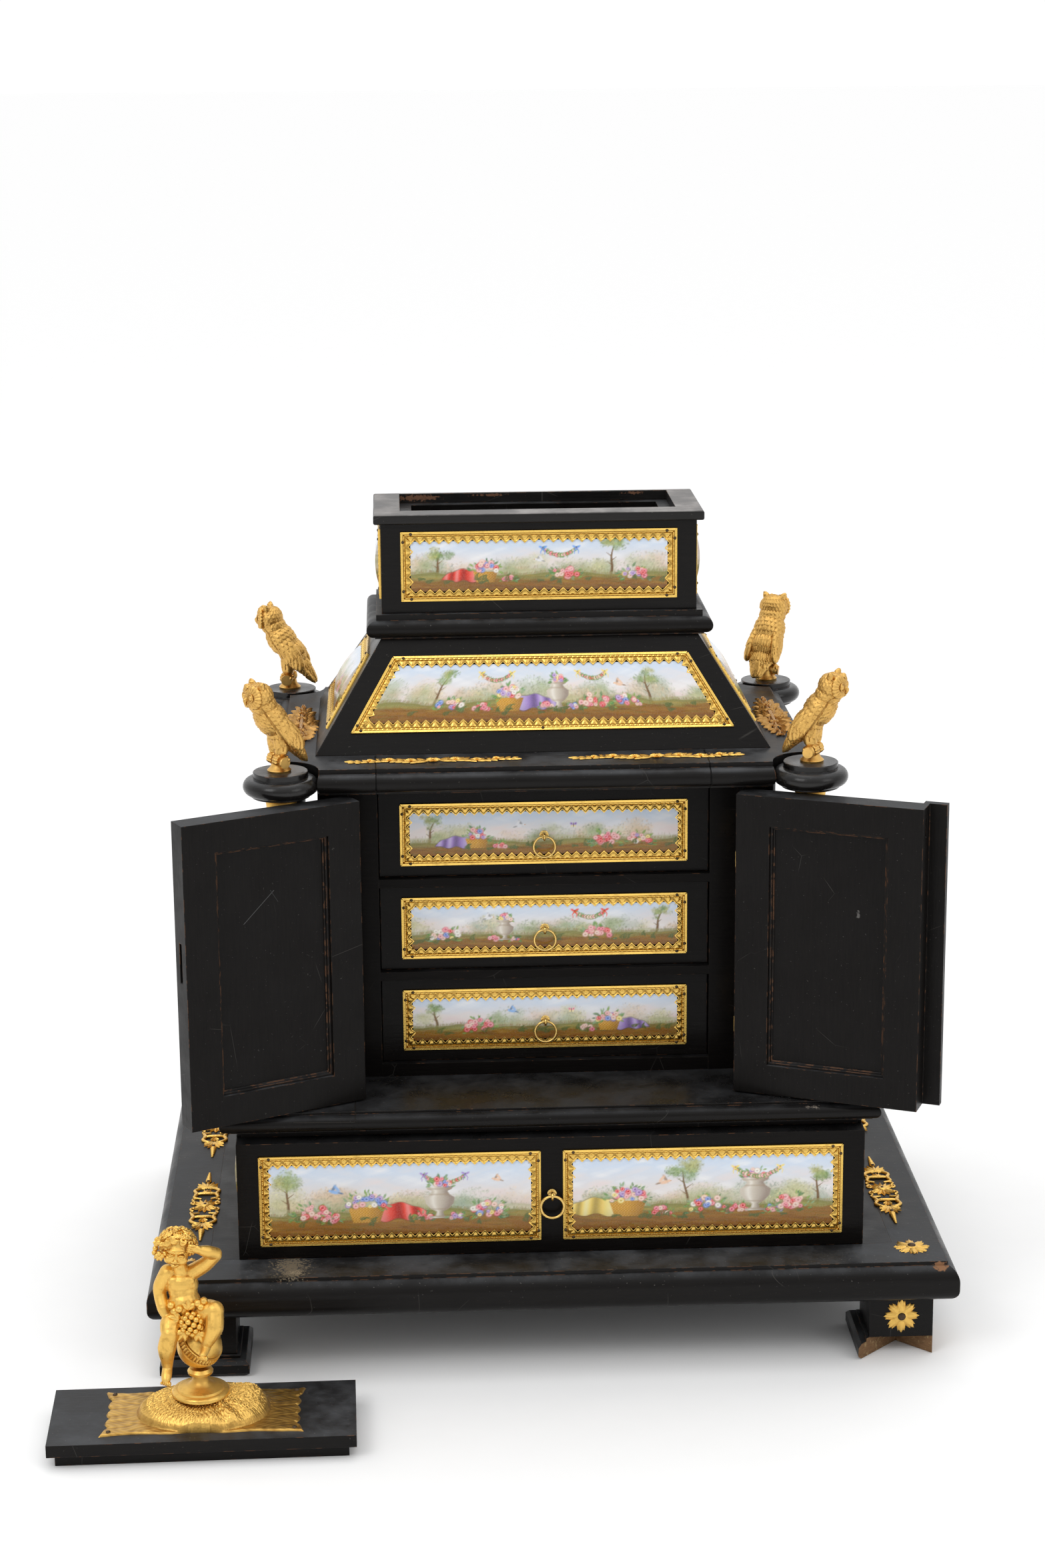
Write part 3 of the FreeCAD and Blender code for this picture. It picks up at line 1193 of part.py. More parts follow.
def add_putto(place, seat_up, stand):
    """The cast putto that sits on the ball with grapes in its lap and one hand at its cheek."""
    joint_shares = {
        "hips": (-0.63, 0.0, 1.04),
        "chest": (-0.78, 0.0, 2.62),
        "neck": (-0.85, 0.0, 3.3),
        "head": (-0.87, -0.18, 4.87),
        "right hip": (-1.2, -0.3, 0.85),
        "right knee": (-1.56, -1.3, 0.3),
        "right foot": (-1.82, -1.34, -2.2),
        "left hip": (-0.1, -0.3, 0.95),
        "left knee": (1.15, -1.1, 1.28),
        "left foot": (0.44, -1.52, -0.55),
        "right shoulder": (-1.7, 0.0, 3.3),
        "right hand": (-2.0, -0.1, 0.4),
        "left shoulder": (0.1, 0.0, 3.35),
        "left elbow": (1.1, -0.15, 4.33),
        "left hand": (-0.05, -0.95, 4.55),
        "grapes": (-0.3, -1.1, 1.0),
    }
    at = {joint: (f"socle_across + {x}*figure_body", f"{y}*figure_body", f"{seat_up} + {z}*figure_body")
          for joint, (x, y, z) in joint_shares.items()}
    body = "figure_body"
    thin = "figure_limb"
    x, y, z = at["hips"]
    top = at["chest"]
    head_x, head_y, head_z = at["head"]
    torso = [
        (x, y, f"{z} - {body}*0.9", f"{body}*0.7", f"{body}*0.6"),
        (x, y, z, f"{body}*1.1", f"{body}*0.92"),
        (x, y, f"{z} + {body}*0.85", f"{body}*0.85", f"{body}*0.75"),
        (top[0], top[1], f"{top[2]} + {body}*0.35", body, f"{body}*0.78"),
        (top[0], top[1], f"{top[2]} + {body}*0.85", f"{body}*0.8", f"{body}*0.6"),
        (top[0], top[1], f"{top[2]} + {body}*1.2", f"{thin}*1.05", f"{thin}*1.05"),
        (head_x, head_y, f"{head_z} - figure_head*0.5", f"{thin}*0.95", f"{thin}*0.95"),
    ]
    rounds = ((-1.0, 0.35), (-0.7, 0.75), (-0.1, 1.0), (0.5, 0.88), (0.92, 0.42))
    skull = [(head_x, head_y, f"{head_z} + figure_head*{rise}", f"figure_head*{share}",
              f"figure_head*{share}*0.95")
             for rise, share in rounds]
    bunch = [(*at["grapes"][:2], f"{at['grapes'][2]} + {body}*{rise}", f"{body}*{share}", f"{body}*{share}")
             for rise, share in ((-0.6, 0.25), (-0.1, 0.62), (0.35, 0.6), (0.6, 0.3))]
    parts = [stack("FigureTorso", 9, torso), stack("FigureHead", 10, skull), stack("FigureGrapes", 7, bunch)]
    limbs = (
        ("right hip", "right knee", 1.3), ("right knee", "right foot", 1.0), ("left hip", "left knee", 1.3),
        ("left knee", "left foot", 1.0), ("right shoulder", "right hand", 0.85),
        ("left shoulder", "left elbow", 0.9), ("left elbow", "left hand", 0.78),
    )
    for index, (start, end, share) in enumerate(limbs):
        parts += limb(f"Limb{index}", at[start], at[end], f"{thin}*{share}")
    figure = joined("MultiFuse", "FigureWhole", parts)
    seated = cut("FigureSeated", figure, group("StandAgain", [stand], "socle_across"))
    node(group("Figure", [seated], *place), "lid_putto")


def add_lid():
    """The lid of the top box on the floor: two boards, a gilt pelt, a ball on its socle and a putto."""
    place = ("lid_place_across", "lid_place_along", "0", "lid_turn_angle")
    opening_x = "(box_width/2 - box_side_wall + box_ledge - lid_plug_gap)"
    opening_y = "((box_depth - box_front_wall - box_back_wall)/2 + box_ledge - lid_plug_gap)"
    plug = box("LidPlug", middle(opening_x), middle(opening_y), ("0", "lid_plug_thickness"))
    top = "(lid_plug_thickness + lid_thickness)"
    board = box("LidBoard", middle("lid_width/2"), middle("lid_depth/2"), ("lid_plug_thickness", top))
    node(group("Plug", [plug], *place), "lid_plug")
    node(group("Board", [board], *place), "lid_board")

    lug_x = "(pelt_width/2 - pelt_lug)"
    lug_y = "(pelt_depth/2 - pelt_lug)"
    parts = [box("PeltPlate", middle(lug_x), middle("pelt_depth/2 - pelt_lug/2"),
                 (top, f"{top} + pelt_thickness"))]
    for side, sign in SIDES:
        for share in (-1, 0, 1):
            parts.append(prism(f"PeltLug{side}{share + 1}", 6, "pelt_lug", "pelt_thickness",
                               f"{sign}*({lug_x} - {1 - abs(share)}*pelt_lug/2)", f"{share}*{lug_y}", top))
    domes = ((0.0, 1.0), (0.35, 0.93), (0.65, 0.76), (0.88, 0.52), (1.0, 0.34))
    parts.append(stack("PeltDome", 16, [
        ("0", "0", f"{top} + pelt_mound_height*{rise}", f"pelt_mound_width/2*{share}",
         f"pelt_mound_depth/2*{share}")
        for rise, share in domes]))
    node(group("Pelt", [joined("MultiFuse", "PeltWhole", parts)], *place), "lid_pelt")

    foot = f"({top} + pelt_mound_height)"
    neck = f"({foot} + socle_height)"
    ball_foot = f"({neck} + socle_neck_height)"
    centre = f"({ball_foot} + ball_radius)"
    globe_shares = ((0.0, 0.4), (0.2, 0.8), (0.6, 0.97), (1.0, 1.0), (1.4, 0.97), (1.75, 0.66), (2.0, 0.25))
    stand = rounds("Stand", 18, [
        (foot, "socle_radius"),
        (f"{foot} + socle_height/2", "socle_radius"),
        (neck, "socle_radius*0.6"),
        (f"{neck} + socle_neck_height/3", "socle_neck"),
        (f"{ball_foot} - socle_neck_height/6", "socle_neck"),
        *((f"{ball_foot} + ball_radius*{rise}", f"ball_radius*{share}") for rise, share in globe_shares),
    ])
    node(group("Pedestal", [group("StandPlace", [stand], "socle_across")], *place), "lid_pedestal")
    add_putto(place, f"({centre} + ball_radius)", stand)


add_feet()
add_base()
add_case()
drawer_floors = add_carcass()
add_columns()
add_cornice()
add_roof()
add_box()
add_cabinet_plaques()
add_flat_mounts()
add_owls()
add_small_drawers(drawer_floors)
add_base_drawer()
add_doors()
add_lid()
doc.recompute()

for item in doc.Objects:
    if "Invalid" in item.State or "Error" in item.State:
        raise RuntimeError(f"{item.Name} failed: {item.State}")
os.makedirs("parts", exist_ok=True)
for piece in NODES:
    if piece.Shape.isNull() or not piece.Shape.isValid() or not piece.Shape.Solids:
        raise RuntimeError(f"{piece.Label} has no valid shape")
    solids = piece.Shape.Solids
    shape = solids[0] if len(solids) == 1 else Part.makeCompound(solids)
    shape.exportStep(os.path.join("parts", f"{piece.Label}.step"))
print(f"wrote {len(NODES)} sub-parts")
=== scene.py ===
"""Looks of the ebonised coin cabinet with enamel plaques and gilt mounts.

Places and sizes in this script are in millimetres in the cabinet's own frame, and meshes are made in metres.
"""
import json
import math
import random

import bmesh
import bpy
import numpy as np
from mathutils import Matrix, Vector


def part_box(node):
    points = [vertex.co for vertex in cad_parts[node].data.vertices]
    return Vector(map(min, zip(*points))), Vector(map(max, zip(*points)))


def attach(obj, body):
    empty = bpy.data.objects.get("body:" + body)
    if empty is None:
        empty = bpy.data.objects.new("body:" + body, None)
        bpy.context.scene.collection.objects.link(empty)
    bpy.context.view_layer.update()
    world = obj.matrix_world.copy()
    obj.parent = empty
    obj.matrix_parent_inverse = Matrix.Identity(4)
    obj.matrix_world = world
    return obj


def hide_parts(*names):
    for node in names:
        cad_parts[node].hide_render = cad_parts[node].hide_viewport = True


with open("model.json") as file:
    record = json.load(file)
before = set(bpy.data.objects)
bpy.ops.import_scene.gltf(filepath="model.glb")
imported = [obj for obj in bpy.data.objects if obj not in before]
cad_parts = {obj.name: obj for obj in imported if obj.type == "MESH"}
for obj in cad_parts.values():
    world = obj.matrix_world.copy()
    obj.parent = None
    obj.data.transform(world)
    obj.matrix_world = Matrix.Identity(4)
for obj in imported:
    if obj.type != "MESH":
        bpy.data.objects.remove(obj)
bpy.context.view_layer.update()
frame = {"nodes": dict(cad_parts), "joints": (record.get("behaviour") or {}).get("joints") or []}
NODES = frame["nodes"]
MM = 0.001
TAU = math.tau
QUARTER = math.pi / 2
SIDES = (-1, 1)

# the photograph's camera
CAMERA_PLACE = (-72.89, -1537.27, 664.98)
CAMERA_YAW = 2.42
CAMERA_PITCH = 14.62
CAMERA_ROLL = -0.49
CAMERA_FOCUS_PIXELS = 4600.0
PHOTO_HEIGHT = 2352
SENSOR = 36.0

# pressed brass strips
STRIP_WIDTH = 5.0
STRIP_PITCH = 4.7
STRIP_STEPS = 8
BORDER = 2.35
TOOTH_REACH = 1.5
NAIL_RADIUS = 0.85
NAIL_INSET = 1.3
NAIL_FROM_CORNER = 5.2
LONG_STRIP = 150


class Graph:
    """Shorthand for the nodes of one material; colours are given as three numbers."""

    def __init__(self, name):
        self.material = bpy.data.materials.new(name)
        self.material.use_nodes = True
        self.tree = self.material.node_tree
        self.shader = self.tree.nodes["Principled BSDF"]
        self.place = self.node("ShaderNodeTexCoord").outputs["Object"]

    def put(self, socket, given):
        if isinstance(given, bpy.types.NodeSocket):
            self.tree.links.new(given, socket)
        else:
            socket.default_value = (*given, 1) if socket.type == "RGBA" else given

    def node(self, kind, inputs=None, **settings):
        made = self.tree.nodes.new(kind)
        for key, setting in settings.items():
            setattr(made, key, setting)
        for key, given in (inputs or {}).items():
            self.put(made.inputs[key], given)
        return made

    def noise(self, scale, detail=3.0, rough=0.55, stretch=None, seed=0.0):
        """Noise over the piece, about scale features to a metre."""
        where = self.place
        if stretch or seed:
            shift = (seed, seed * 0.7, -seed)
            inputs = {"Vector": where, "Scale": stretch or (1, 1, 1), "Location": shift}
            where = self.node("ShaderNodeMapping", inputs).outputs[0]
        inputs = {"Vector": where, "Scale": scale, "Detail": detail, "Roughness": rough}
        return self.node("ShaderNodeTexNoise", inputs).outputs["Fac"]

    def math(self, operation, first, second=0.0, clamp=False):
        return self.node("ShaderNodeMath", {0: first, 1: second}, operation=operation,
                         use_clamp=clamp).outputs[0]

    def times(self, first, second, clamp=False):
        return self.math("MULTIPLY", first, second, clamp)

    def plus(self, first, second, clamp=False):
        return self.math("ADD", first, second, clamp)

    def vector(self, operation, first, second=None, key=1):
        """A sum of vectors, or a number where it is their DOT_PRODUCT or a LENGTH."""
        inputs = {0: first} if second is None else {0: first, key: second}
        made = self.node("ShaderNodeVectorMath", inputs, operation=operation)
        return made.outputs["Value" if operation in ("LENGTH", "DOT_PRODUCT") else "Vector"]

    def ramp(self, given, low, high, to_low=0.0, to_high=1.0):
        """Maps low to to_low and high to to_high, smoothly, and no further."""
        inputs = {"Value": given, "From Min": low, "From Max": high, "To Min": to_low, "To Max": to_high}
        return self.node("ShaderNodeMapRange", inputs, interpolation_type="SMOOTHSTEP").outputs["Result"]

    def mix(self, share, first, second):
        return self.node("ShaderNodeMix", {0: share, 6: first, 7: second}, data_type="RGBA").outputs[2]

    def bump(self, height, depth, normal=None):
        """A bump whose height map rises by depth, in metres."""
        inputs = {"Height": height, "Distance": depth, "Strength": 1.0}
        if normal is not None:
            inputs["Normal"] = normal
        return self.node("ShaderNodeBump", inputs).outputs[0]

    def geometry(self, output):
        return self.node("ShaderNodeNewGeometry").outputs[output]

    def attribute(self, name, output="Fac"):
        return self.node("ShaderNodeAttribute", attribute_name=name).outputs[output]

    def edges(self, radius):
        """A softened normal, and a mask that is high along convex and concave edges."""
        soft = self.node("ShaderNodeBevel", {"Radius": radius}, samples=4).outputs[0]
        return soft, self.math("SUBTRACT", 1.0, self.vector("DOT_PRODUCT", soft, self.geometry("Normal")))

    def up(self):
        """How far a face looks upwards, from -1 to 1."""
        return self.node("ShaderNodeSeparateXYZ", {0: self.geometry("Normal")}).outputs[2]

    def patch(self, centre, radii, ragged):
        """A ragged spot about a place."""
        away = self.vector("SUBTRACT", self.place, [part * MM for part in centre])
        far = self.vector("LENGTH", self.vector("MULTIPLY", away, [1 / (size * MM) for size in radii]))
        rag = self.times(self.math("SUBTRACT", self.noise(700, 4.0, 0.7), 0.5), ragged * 2)
        return self.ramp(self.plus(far, rag), 1.0, 0.7)

    def stroke(self, start, end, width):
        """A thin line between two places, on a level face if they are level, else on an upright one."""
        flat = (1, 1, 0) if start[2] == end[2] else (1, 0, 1)
        start, end = (Vector([part * keep * MM for part, keep in zip(point, flat)]) for point in (start, end))
        away = self.vector("SUBTRACT", self.vector("MULTIPLY", self.place, flat), list(start))
        way = (end - start) / (end - start).length_squared
        share = self.plus(self.vector("DOT_PRODUCT", away, list(way)), 0.0, True)
        along = self.vector("SCALE", list(end - start), share, 3)
        far = self.vector("LENGTH", self.vector("SUBTRACT", away, along))
        return self.ramp(far, width * MM, width * MM * 0.4)

    def finish(self, **sockets):
        for name, given in sockets.items():
            self.put(self.shader.inputs[name.replace("_", " ")], given)
        return self.material


def ebony_material(name, wear=0.5, dust_and_sheen=0.5, polish=0.3, grain=(1, 12, 12), shine=0.14, marks=(),
                   grey=(0.105, 0.11, 0.118)):
    """Blackened pear wood: satin wax, faint grain, brown wood at worn edges and grey dust on top faces; on
    the rim the pale grey on top faces is also painted sheen.
    """
    g = Graph(name)
    soft, edge = g.edges(0.0006)
    fibre = g.noise(90, 4.0, 0.6, grain)
    patches = g.noise(45, 5.0, 0.62)
    chips = g.noise(210, 3.0, 0.6)
    specks = g.noise(900, 2.0, 0.5)
    tint = g.mix(fibre, (0.0022, 0.0019, 0.0018), (0.0075, 0.0062, 0.0055))
    level = g.ramp(g.up(), 0.5, 0.95)
    # grey on the faces that look up: dust, and with the rim's pale grey also a painted sheen of grazing light
    top_dust_and_sheen = g.times(level, g.ramp(patches, 0.3, 0.75, 0.1 * dust_and_sheen, 0.7 * dust_and_sheen), True)
    tint = g.mix(top_dust_and_sheen, tint, grey)
    spots = g.times(g.ramp(g.up(), -0.2, 0.9, 0.25, 1.0), g.ramp(specks, 0.71, 0.76, 0.0, 0.5 * dust_and_sheen))
    tint = g.mix(spots, tint, (0.24, 0.23, 0.21))
    ridge = g.ramp(edge, 0.015, 0.1)
    rubbed = g.times(ridge, g.ramp(patches, 0.35, 0.7, 0.0, 0.55))
    tint = g.mix(rubbed, tint, (0.05, 0.042, 0.036))
    worn = g.times(ridge, g.ramp(chips, 0.66 - 0.13 * wear, 0.72 - 0.13 * wear))
    brown = g.mix(fibre, (0.10, 0.040, 0.018), (0.25, 0.12, 0.055))
    tint = g.mix(g.times(worn, 0.9), tint, brown)
    cells = {"Vector": g.place, "Scale": 34.0}
    scratch = g.node("ShaderNodeTexVoronoi", cells, feature="DISTANCE_TO_EDGE").outputs[0]
    scratch = g.times(g.ramp(scratch, 0.0055, 0.001), g.ramp(g.noise(28, 2.0, 0.5, None, 3.0), 0.57, 0.66))
    tint = g.mix(g.times(scratch, 0.5), tint, (0.07, 0.066, 0.06))
    height = g.plus(g.times(fibre, 0.6), g.times(g.noise(300, 3.0), 0.4))
    rough = g.ramp(patches, 0.25, 0.75, polish - 0.06, polish + 0.14)
    rough = g.plus(rough, g.times(top_dust_and_sheen, 0.4), True)
    for kind, first, second, size, colour in marks:
        mask = (g.patch if kind == "patch" else g.stroke)(first, second, size)
        if kind == "crack":
            height = g.math("SUBTRACT", height, g.times(mask, 3.0))
        elif kind == "patch":
            rough = g.math("MAXIMUM", rough, g.times(mask, 0.8))
        tint = g.mix(mask, tint, colour)
    return g.finish(Base_Color=tint, Roughness=rough, Normal=g.bump(height, 0.00012, soft),
                    Specular_IOR_Level=shine, Coat_Weight=0.04, Coat_Roughness=0.2)


def drawer_wood_material():
    """Plain brown wood inside the drawers, with a long grain."""
    g = Graph("drawer_wood")
    soft, edge = g.edges(0.0004)
    fibre = g.noise(120, 5.0, 0.65, (1, 18, 14))
    tint = g.mix(fibre, (0.11, 0.055, 0.026), (0.25, 0.14, 0.07))
    tint = g.mix(g.ramp(edge, 0.02, 0.2, 0.0, 0.5), tint, (0.3, 0.18, 0.1))
    return g.finish(Base_Color=tint, Roughness=g.ramp(fibre, 0.2, 0.8, 0.5, 0.68),
                    Normal=g.bump(fibre, 0.00025, soft), Specular_IOR_Level=0.4)


def raw_wood_material():
    """Bare brown wood and old glue where a foot's moulding is lost."""
    g = Graph("raw_wood")
    fibre = g.noise(260, 5.0, 0.7, (1, 1, 5))
    patches = g.noise(500, 4.0, 0.6)
    tint = g.mix(fibre, (0.09, 0.045, 0.02), (0.34, 0.19, 0.09))
    tint = g.mix(g.ramp(patches, 0.55, 0.68, 0.0, 0.8), tint, (0.42, 0.3, 0.14))
    return g.finish(Base_Color=tint, Roughness=0.85, Normal=g.bump(g.plus(fibre, patches), 0.0009),
                    Specular_IOR_Level=0.25)


def brass_material(name, bright, dark, rough, ribs=False):
    """Pressed brass: bright on its relief and brown in its hollows, which a tone attribute marks: tarnish,
    and on the strips also painted shade.
    """
    g = Graph(name)
    spots = g.noise(240, 4.0, 0.6)
    stain = g.times(g.ramp(spots, 0.5, 0.78), 0.3)
    tint = g.mix(g.math("MAXIMUM", g.times(g.attribute("TarnishAndShade"), 0.85), stain), bright, dark)
    height = g.times(g.noise(1500, 2.0), 0.35)
    if ribs:
        along, inwards, _ = g.node("ShaderNodeSeparateXYZ", {0: g.node("ShaderNodeUVMap").outputs[0]}).outputs
        wave = g.math("SINE", g.times(along, TAU / 0.62))
        band = g.times(g.ramp(inwards, 0.15, 0.3), g.ramp(inwards, 1.3, 1.15))
        height = g.plus(height, g.times(wave, g.times(band, 0.35)))
    return g.finish(Base_Color=tint, Metallic=1.0, Roughness=g.ramp(spots, 0.3, 0.8, rough, rough + 0.16),
                    Normal=g.bump(height, 0.00009))


def cast_material(name, bright, dark, rough):
    """Cast and gilt bronze: matt, with burnished high points, and brown in its hollows, found from pointiness
    and from a tone attribute of tarnish and painted shade.
    """
    g = Graph(name)
    sharp = g.geometry("Pointiness")
    spots = g.noise(330, 5.0, 0.65)
    hollow = g.math("MAXIMUM", g.ramp(sharp, 0.5, 0.43, 0.0, 0.9), g.attribute("TarnishAndShade"))
    worn = g.times(g.ramp(spots, 0.48, 0.72), 0.4)
    shine = g.ramp(sharp, 0.5, 0.6, rough, rough - 0.16)
    grit = g.plus(g.noise(2600, 2.0), g.noise(800, 2.0))
    return g.finish(Base_Color=g.mix(g.math("MAXIMUM", hollow, worn), bright, dark), Metallic=1.0,
                    Roughness=g.plus(shine, g.times(worn, 0.2)), Normal=g.bump(grit, 0.00007))


def iron_material():
    """Dark heads of the small nails."""
    g = Graph("nail_iron")
    spots = g.noise(1200, 3.0)
    return g.finish(Base_Color=g.mix(spots, (0.03, 0.02, 0.013), (0.13, 0.085, 0.05)), Metallic=0.8,
                    Roughness=g.ramp(spots, 0.3, 0.7, 0.35, 0.6), Normal=g.bump(spots, 0.0001))


def enamel_material():
    """Glossy enamel, its colours painted on the mesh as the Paint attribute."""
    g = Graph("painted_enamel")
    stipple = g.ramp(g.noise(1700, 2.0, 0.5), 0.25, 0.75, 0.0, 0.05)
    tint = g.mix(stipple, g.attribute("Paint", "Color"), (0.93, 0.88, 0.82))
    return g.finish(Base_Color=tint, Roughness=0.2, Normal=g.bump(g.noise(160, 2.0), 0.00015),
                    Specular_IOR_Level=0.32, Coat_Weight=0.12, Coat_Roughness=0.06)


# ebonised woods, with the marks that the photograph shows:
# kind, place, size or far end, raggedness or width, and colour
UPRIGHT = (12, 12, 1)
BLACK = (0.001, 0.001, 0.001)
SEAM = (0.02, 0.018, 0.016)
EBONY = ebony_material("ebonised_wood")
EBONY_WORN = ebony_material("ebonised_wood_worn", wear=1.0, dust_and_sheen=0.9, polish=0.34, marks=(
    ("patch", (-128.5, -134, 52.7), (5.5, 6, 3), 2.6, (0.30, 0.24, 0.16)),
    ("patch", (-130, -126, 52.7), (7, 13, 3), 3.4, (0.16, 0.13, 0.09)),
    ("patch", (-130.5, -146.4, 51.4), (4, 3, 1.8), 0.9, (0.50, 0.28, 0.13)),
    ("patch", (191, -143, 51), (4, 4, 2.5), 1.0, (0.24, 0.12, 0.06)),
    ("crack", (-83, 0, 296.2), (-83.3, 0, 287), 0.3, BLACK),
    ("crack", (-83, -97, 296), (-83.5, -66, 296), 0.3, BLACK),
    ("crack", (80, 0, 296.2), (80.4, 0, 286), 0.3, BLACK),
    ("crack", (80, -97, 296), (79.5, -66, 296), 0.3, BLACK),
))
EBONY_SLAB = ebony_material("ebonised_slab_wood", wear=0.7, dust_and_sheen=0.5, polish=0.24, marks=(
    ("crack", (-96.6, 0, 128.2), (-96.8, 0, 124.4), 0.35, SEAM),
    ("crack", (-96.8, 0, 124.5), (-127, 0, 124.9), 0.35, SEAM),
    ("patch", (129.4, -119, 127), (5, 3, 1.6), 1.0, (0.2, 0.17, 0.14)),
))
# the rim's top faces are painted pale grey: worn dust together with a painted sheen of grazing light
RIM_DUST_AND_SHEEN_GREY = (0.30, 0.285, 0.275)
EBONY_RIM = ebony_material("ebonised_rim_wood", wear=1.2, dust_and_sheen=1.6, polish=0.36, shine=0.3,
                           grey=RIM_DUST_AND_SHEEN_GREY, marks=(
    ("patch", (-60, 28, 409), (13, 6, 2.0), 1.2, (0.16, 0.075, 0.04)),
    ("patch", (-22, 28, 410), (9, 6, 0.8), 1.6, (0.14, 0.065, 0.035)),
    ("patch", (52, 28, 410), (6, 6, 0.9), 1.6, (0.14, 0.065, 0.035)),
))
EBONY_FRONT = ebony_material("ebonised_drawer_wood", wear=1.0, dust_and_sheen=0.3, polish=0.22, shine=0.07)
# a darker copy for the parts inside the case, less glossy and less grey: the inside's shade painted into the
# material
EBONY_INSIDE = ebony_material("ebonised_inside_wood", wear=0.5, dust_and_sheen=0.2, polish=0.3, shine=0.04)
EBONY_DOOR = ebony_material("ebonised_door_wood", wear=1.0, dust_and_sheen=0.9, polish=0.38,
                            grain=UPRIGHT, shine=0.1, marks=(
    ("scratch", (-147.9, 0, 228.3), (-133.3, 0, 243), 0.2, (0.07, 0.07, 0.07)),
    ("scratch", (-135, 0, 243.4), (-131.5, 0, 237), 0.15, (0.035, 0.035, 0.035)),
    ("patch", (-141, -108, 188), (1.6, 9, 1.1), 0.9, (0.14, 0.13, 0.12)),
    ("patch", (150, -112, 226), (1.2, 12, 2.6), 0.8, (0.10, 0.095, 0.09)),
))
EBONY_POLISHED = ebony_material("ebonised_polished_wood", wear=0.6, dust_and_sheen=0.5, polish=0.17, shine=0.35)
EBONY_BEAD = ebony_material("ebonised_bead_wood", wear=1.25, dust_and_sheen=0.3, polish=0.34, grain=UPRIGHT)
DRAWER_WOOD = drawer_wood_material()
RAW_WOOD = raw_wood_material()
STRIP_BRASS = brass_material("strip_brass", (0.88, 0.58, 0.14), (0.22, 0.10, 0.018), 0.2, ribs=True)
RING_BRASS = brass_material("ring_brass", (0.78, 0.53, 0.17), (0.3, 0.16, 0.05), 0.22)
GILT = cast_material("gilt_bronze", (0.83, 0.52, 0.13), (0.36, 0.17, 0.035), 0.42)
GILT_PELT = cast_material("gilt_bronze_pelt", (0.80, 0.50, 0.13), (0.22, 0.10, 0.02), 0.36)
GILT_OWL = cast_material("gilt_bronze_owls", (0.74, 0.45, 0.13), (0.27, 0.13, 0.03), 0.45)
GILT_DULL = cast_material("gilt_bronze_dull", (0.50, 0.28, 0.09), (0.16, 0.075, 0.025), 0.5)
IRON = iron_material()
ENAMEL = enamel_material()

# the slot that the pieces of each material belong to
SLOTS = {material.name: slot for slot, group in (
    ("ebonised_wood", (EBONY_POLISHED, EBONY_BEAD)), ("brass_strip", (STRIP_BRASS,)),
    ("ring_brass", (RING_BRASS,)), ("gilt_bronze", (GILT, GILT_PELT, GILT_OWL, GILT_DULL)),
    ("enamel", (ENAMEL,))) for material in group}


def in_scene(name, data):
    made = bpy.data.objects.new(name, data)
    bpy.context.scene.collection.objects.link(made)
    return made


def mesh_of(name, points, faces):
    """A mesh from points in millimetres."""
    mesh = bpy.data.meshes.new(name)
    mesh.from_pydata((np.asarray(points) * MM).tolist(), [], faces)
    return mesh


# how dark a piece is at each point: tarnish, and painted shade in hollows such as the strips' grooves and the
# putto's eyes and lips
def tarnish_and_shade(mesh, tone):
    mesh.attributes.new("TarnishAndShade", "FLOAT", "POINT").data.foreach_set("value", np.array(tone, np.float32))


def dress(made, body, material, replaces=None, smooth=60.0):
    """Gives a piece its material, its shading, its body and the node that it stands for."""
    mesh = made.data
    mesh.materials.clear()
    mesh.materials.append(material)
    mesh.polygons.foreach_set("use_smooth", [True] * len(mesh.polygons))
    mesh.set_sharp_from_angle(angle=math.radians(smooth))
    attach(made, body)
    if replaces:
        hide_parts(replaces)


def moved(*place):
    return Matrix.Translation(place)


def spun(angle, axis="Z"):
    return Matrix.Rotation(angle, 4, axis)


def facing(out):
    """The turn that takes +Z to a direction."""
    return Vector(out).to_track_quat("Z", "Y").to_matrix().to_4x4()


def circle(steps):
    """Cosine and sine at even steps round a circle."""
    return [(math.cos(turn), math.sin(turn)) for turn in np.linspace(0, TAU, steps, endpoint=False)]


